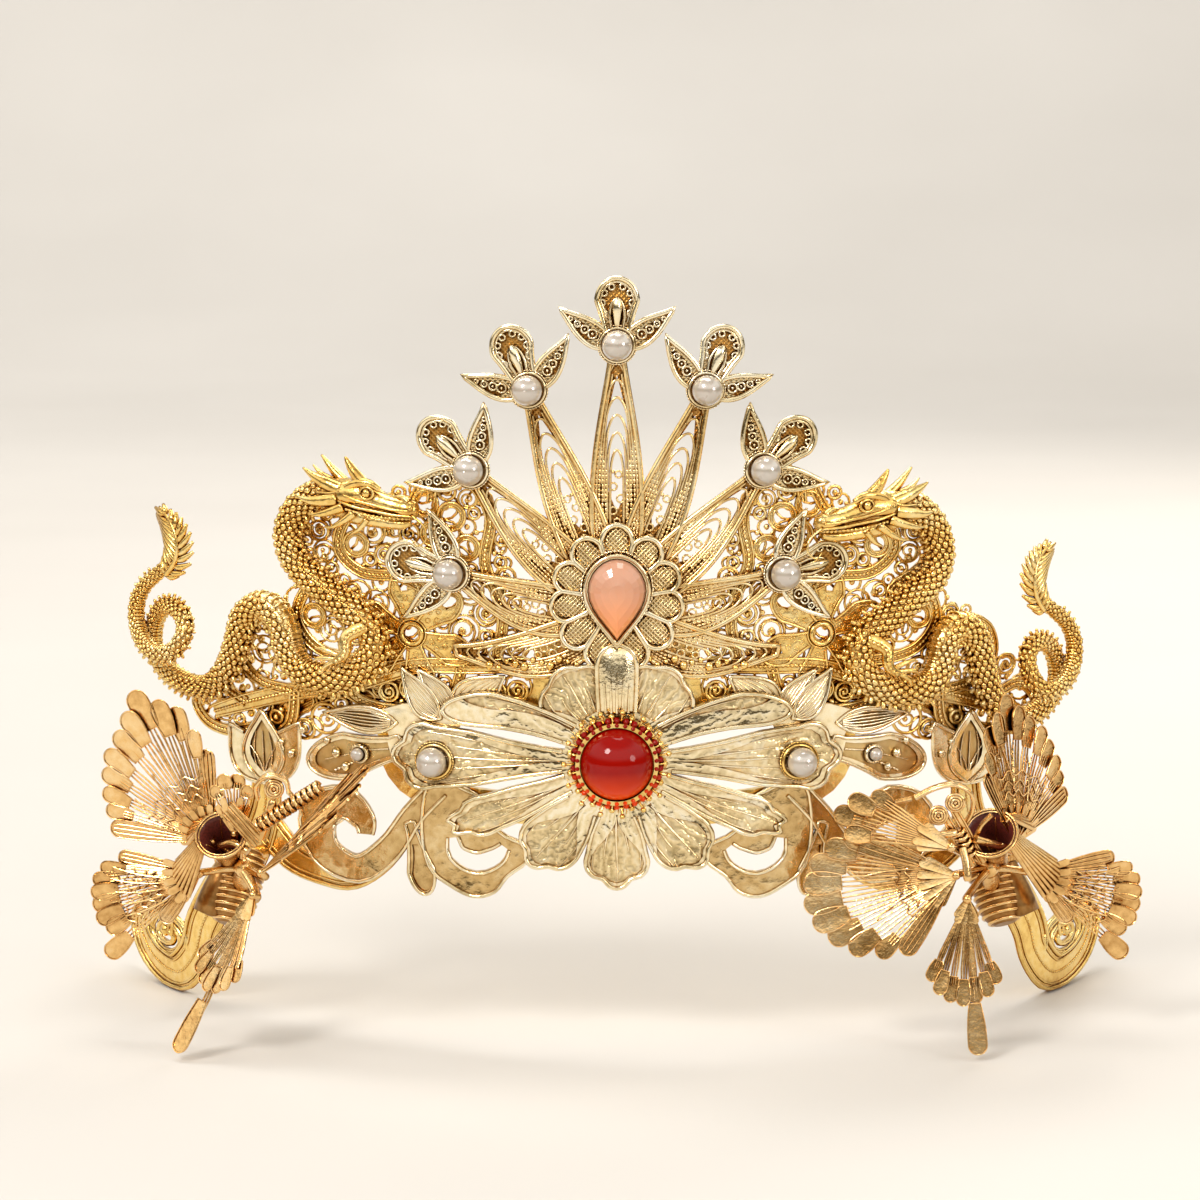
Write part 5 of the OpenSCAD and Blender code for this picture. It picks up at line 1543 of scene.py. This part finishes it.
def addCupShells(turn, flip, hand, rimRadius, depth):
    root = bodyLook["cupRoot"]
    for name, look, inset in (("cup", wingGold, 0.0), ("cupLining", cupLining, 0.3)):
        bm = bmesh.new()
        verts = [bm.verts.new((root + (rimRadius - root) * t ** 2.2 - inset, 0,
                               depth * (t * (1 - 0.012 * inset) + 0.03 * inset))) for t in upTo(10)]
        edges = [bm.edges.new(pair) for pair in zip(verts, verts[1:])]
        bmesh.ops.spin(bm, geom=verts + edges, cent=(0, 0, 0), axis=(0, 0, 1), angle=2 * math.pi, steps=36,
                       use_merge=True)
        bmesh.ops.recalc_face_normals(bm, faces=bm.faces)
        bmesh.ops.solidify(bm, geom=list(bm.faces), thickness=bodyLook["cupThick"])
        bm.transform(flip @ turn)
        bmesh.ops.recalc_face_normals(bm, faces=bm.faces)
        addPiece(name + hand, meshFrom(name + hand, bm), look, "rose_gold")


def addCup(side, hand, spec):
    rim, base = (seat(p) for p in spec["cup"])
    axis = rim - base
    depth = axis.length / mm
    turn = Matrix.Translation(base) @ axis.to_track_quat("Z", "Y").to_matrix().to_4x4() @ Matrix.Scale(mm, 4)
    addCupShells(turn, Matrix.Diagonal((side, 1, 1, 1)), hand, spec["rim"], depth)
    wires = Wirework(side)
    for radius, thick in ((spec["rim"], 0.26), (spec["rim"] - 0.5, 0.16)):
        wires.path([around(turn, radius, a, depth + 0.1) for a in compass(36)], [thick] * 36, True)
    for k in range(3):  # loose wires inside the cup
        a = 0.9 + 2.1 * k
        bend = [around(turn, 0.4, a, depth * 0.3), around(turn, 1.4, a + 0.3, depth * 0.7),
                around(turn, 3.0, a + 0.5, depth)]
        wires.path(bend, [0.15, 0.15, 0.12])
    for part, reach in (("upper", 52), ("lower", 46)):  # ribs from the cup's rim to the roots of two wings
        place = poseOf(side, part)
        for t in upTo(bodyLook["collar"] - 1):
            end = around(place, bodyLook["collarRadius"], math.radians(reach * (2 * t - 1)), 0.6) * mm
            local = turn.inverted() @ end
            start = around(turn, spec["rim"], math.atan2(local.y, local.x), depth)
            wires.path([start, start.lerp(end, 0.5), end], [0.4, 0.46, 0.42])
    wires.piece("cupWires" + hand, wingGold, "rose_gold")


def addSpring(wires, start, end, radius=1.15, pitch=1.1):  # two coils wound opposite ways round a rod
    way = end - start
    turn = way.to_track_quat("Z", "Y").to_matrix()
    turns = way.length / mm / pitch
    for hand in (1, -1):
        points = [start + way * t + around(turn, radius, hand * 2 * math.pi * turns * t) * mm
                  for t in upTo(int(turns * 10))]
        wires.path(points, [bodyLook["spring"]] * len(points))


def addBelly(side, hand):  # the belly and the chest over it in dark brown, painted shade for the gaps between the belly's ribs; returns the belly's places and radii
    belly = Wirework(side)
    middle, axis = seat(bodyLook["belly"]), Vector(bodyLook["axis"]).normalized()
    points, radii = [], []
    for share in upTo(bodyLook["ribs"] * 6):
        t = 2 * share - 1
        points.append(middle + axis * bodyLook["half"] * t * mm)
        swell = math.sqrt(max(0.0, 1 - (abs(t) / 1.06) ** 5))
        radii.append(bodyLook["radius"] * (0.72 + 0.12 * math.cos(1.4 * t)) * swell)
    belly.path(points, radii)
    chest, way = seat(bodyLook["chest"]), Vector(bodyLook["chestWay"]).normalized()
    steps = bodyLook["chestSteps"]
    belly.path([chest + way * t * mm for t, radius in steps], [radius for t, radius in steps])
    mesh = belly.mesh("belly" + hand, 24)
    addPiece("belly" + hand, mesh, bellyBrown, "rose_gold", "phoenix_body_" + hand.lower())
    return points, radii


def addHub(wires, side):  # the post from the panel and an arm to every wing
    hub = seat(bodyLook["hub"])
    wires.path([seat(bodyLook["hubFrom"]), hub], bodyLook["hubStem"])
    wires.ball(hub, bodyLook["hubBall"])
    x, z, length = bodyLook["post"]
    shell = shellPoint(x, z, panelLayer)
    wires.path([shell, shell + outwardAt(x, panelLayer) * length * mm], [bodyLook["postThick"]] * 2)
    for part in ("upper", "lower", "inner", "breast", "tail"):
        place = poseOf(side, part)
        near, back, far, top = ((place @ Vector((0, 0, height))) * mm for height in (0.5, -0.6, -2, 0.45))
        wires.path([near, back, hub.lerp(far, 0.5), hub], bodyLook["arm"])
        wires.ball(top, bodyLook["armBall"])


def addNeck(wires, spec):  # flat bars with a raised edge, rods and springs
    for start, end in spec["bars"]:
        a, b = seat(start), seat(end)
        wires.path([a, b], bodyLook["bar"])
        across = (b - a).cross(Vector((0, 1, 0))).normalized() * 0.55 * mm
        front = Vector((0, 0.5, 0)) * mm
        for sign in (1, -1):
            wires.path([a + across * sign - front, b + across * sign - front], [bodyLook["barEdge"]] * 2)
    for rod in spec["rods"]:
        line = openCurve(rod, 5)
        wires.path([seat(q) for q in line], [bodyLook["rod"]] * (len(line) - 1) + [bodyLook["rodEnd"]])
    for start, end in spec["springs"]:
        addSpring(wires, seat(start), seat(end))
        wires.path([seat(start), seat(end)], [bodyLook["springRod"]] * 2)


def addHead(wires, spec):  # bands of wires laid side by side, and coil eyes
    bands = [(spec["hood"], bodyLook["hoodWires"])]
    bands += [(curl, bodyLook["curlWires"]) for curl in spec["curls"]]
    for line, offsets in bands:
        for off in offsets:
            band = [seat((x, y + off, z - 0.25 * abs(off))) for x, y, z in openCurve(line, 6)]
            wires.path(band, [bodyLook["band"]] * len(band))
    for x, y, z in spec["eyes"]:
        for radius, thick, lift in bodyLook["eyeCoils"]:
            ring = [seat((x + radius * math.cos(a), y + lift, z + radius * math.sin(a))) for a in compass(16)]
            wires.path(ring, [thick] * 16, True)
        wires.ball(seat((x, y, z)), 0.55)
        wires.path([seat((x, y + 0.3, z)), seat((x, y + 1.6, z))], [1.2, 1.0])


def addBody(hand, side):
    spec = bodyLook["right" if side > 0 else "left"]
    points, radii = addBelly(side, hand)
    addCup(side, hand, spec)
    wires = Wirework(side)
    turn = Vector(bodyLook["axis"]).normalized().to_track_quat("Z", "Y").to_matrix()
    for point, radius in list(zip(points, radii))[3:-3:6]:  # bright ribs round the belly, whose dark brown is painted shade between them
        wires.path([point + around(turn, radius, a) * mm for a in compass(28)], [bodyLook["rib"]] * 28, True)
    addHub(wires, side)
    addNeck(wires, spec)
    addHead(wires, spec)
    wires.piece("phoenixWires" + hand, wingGold, "rose_gold", 12)
    print("phoenix body", hand, "is built")


for hand, side in hands:
    addBody(hand, side)
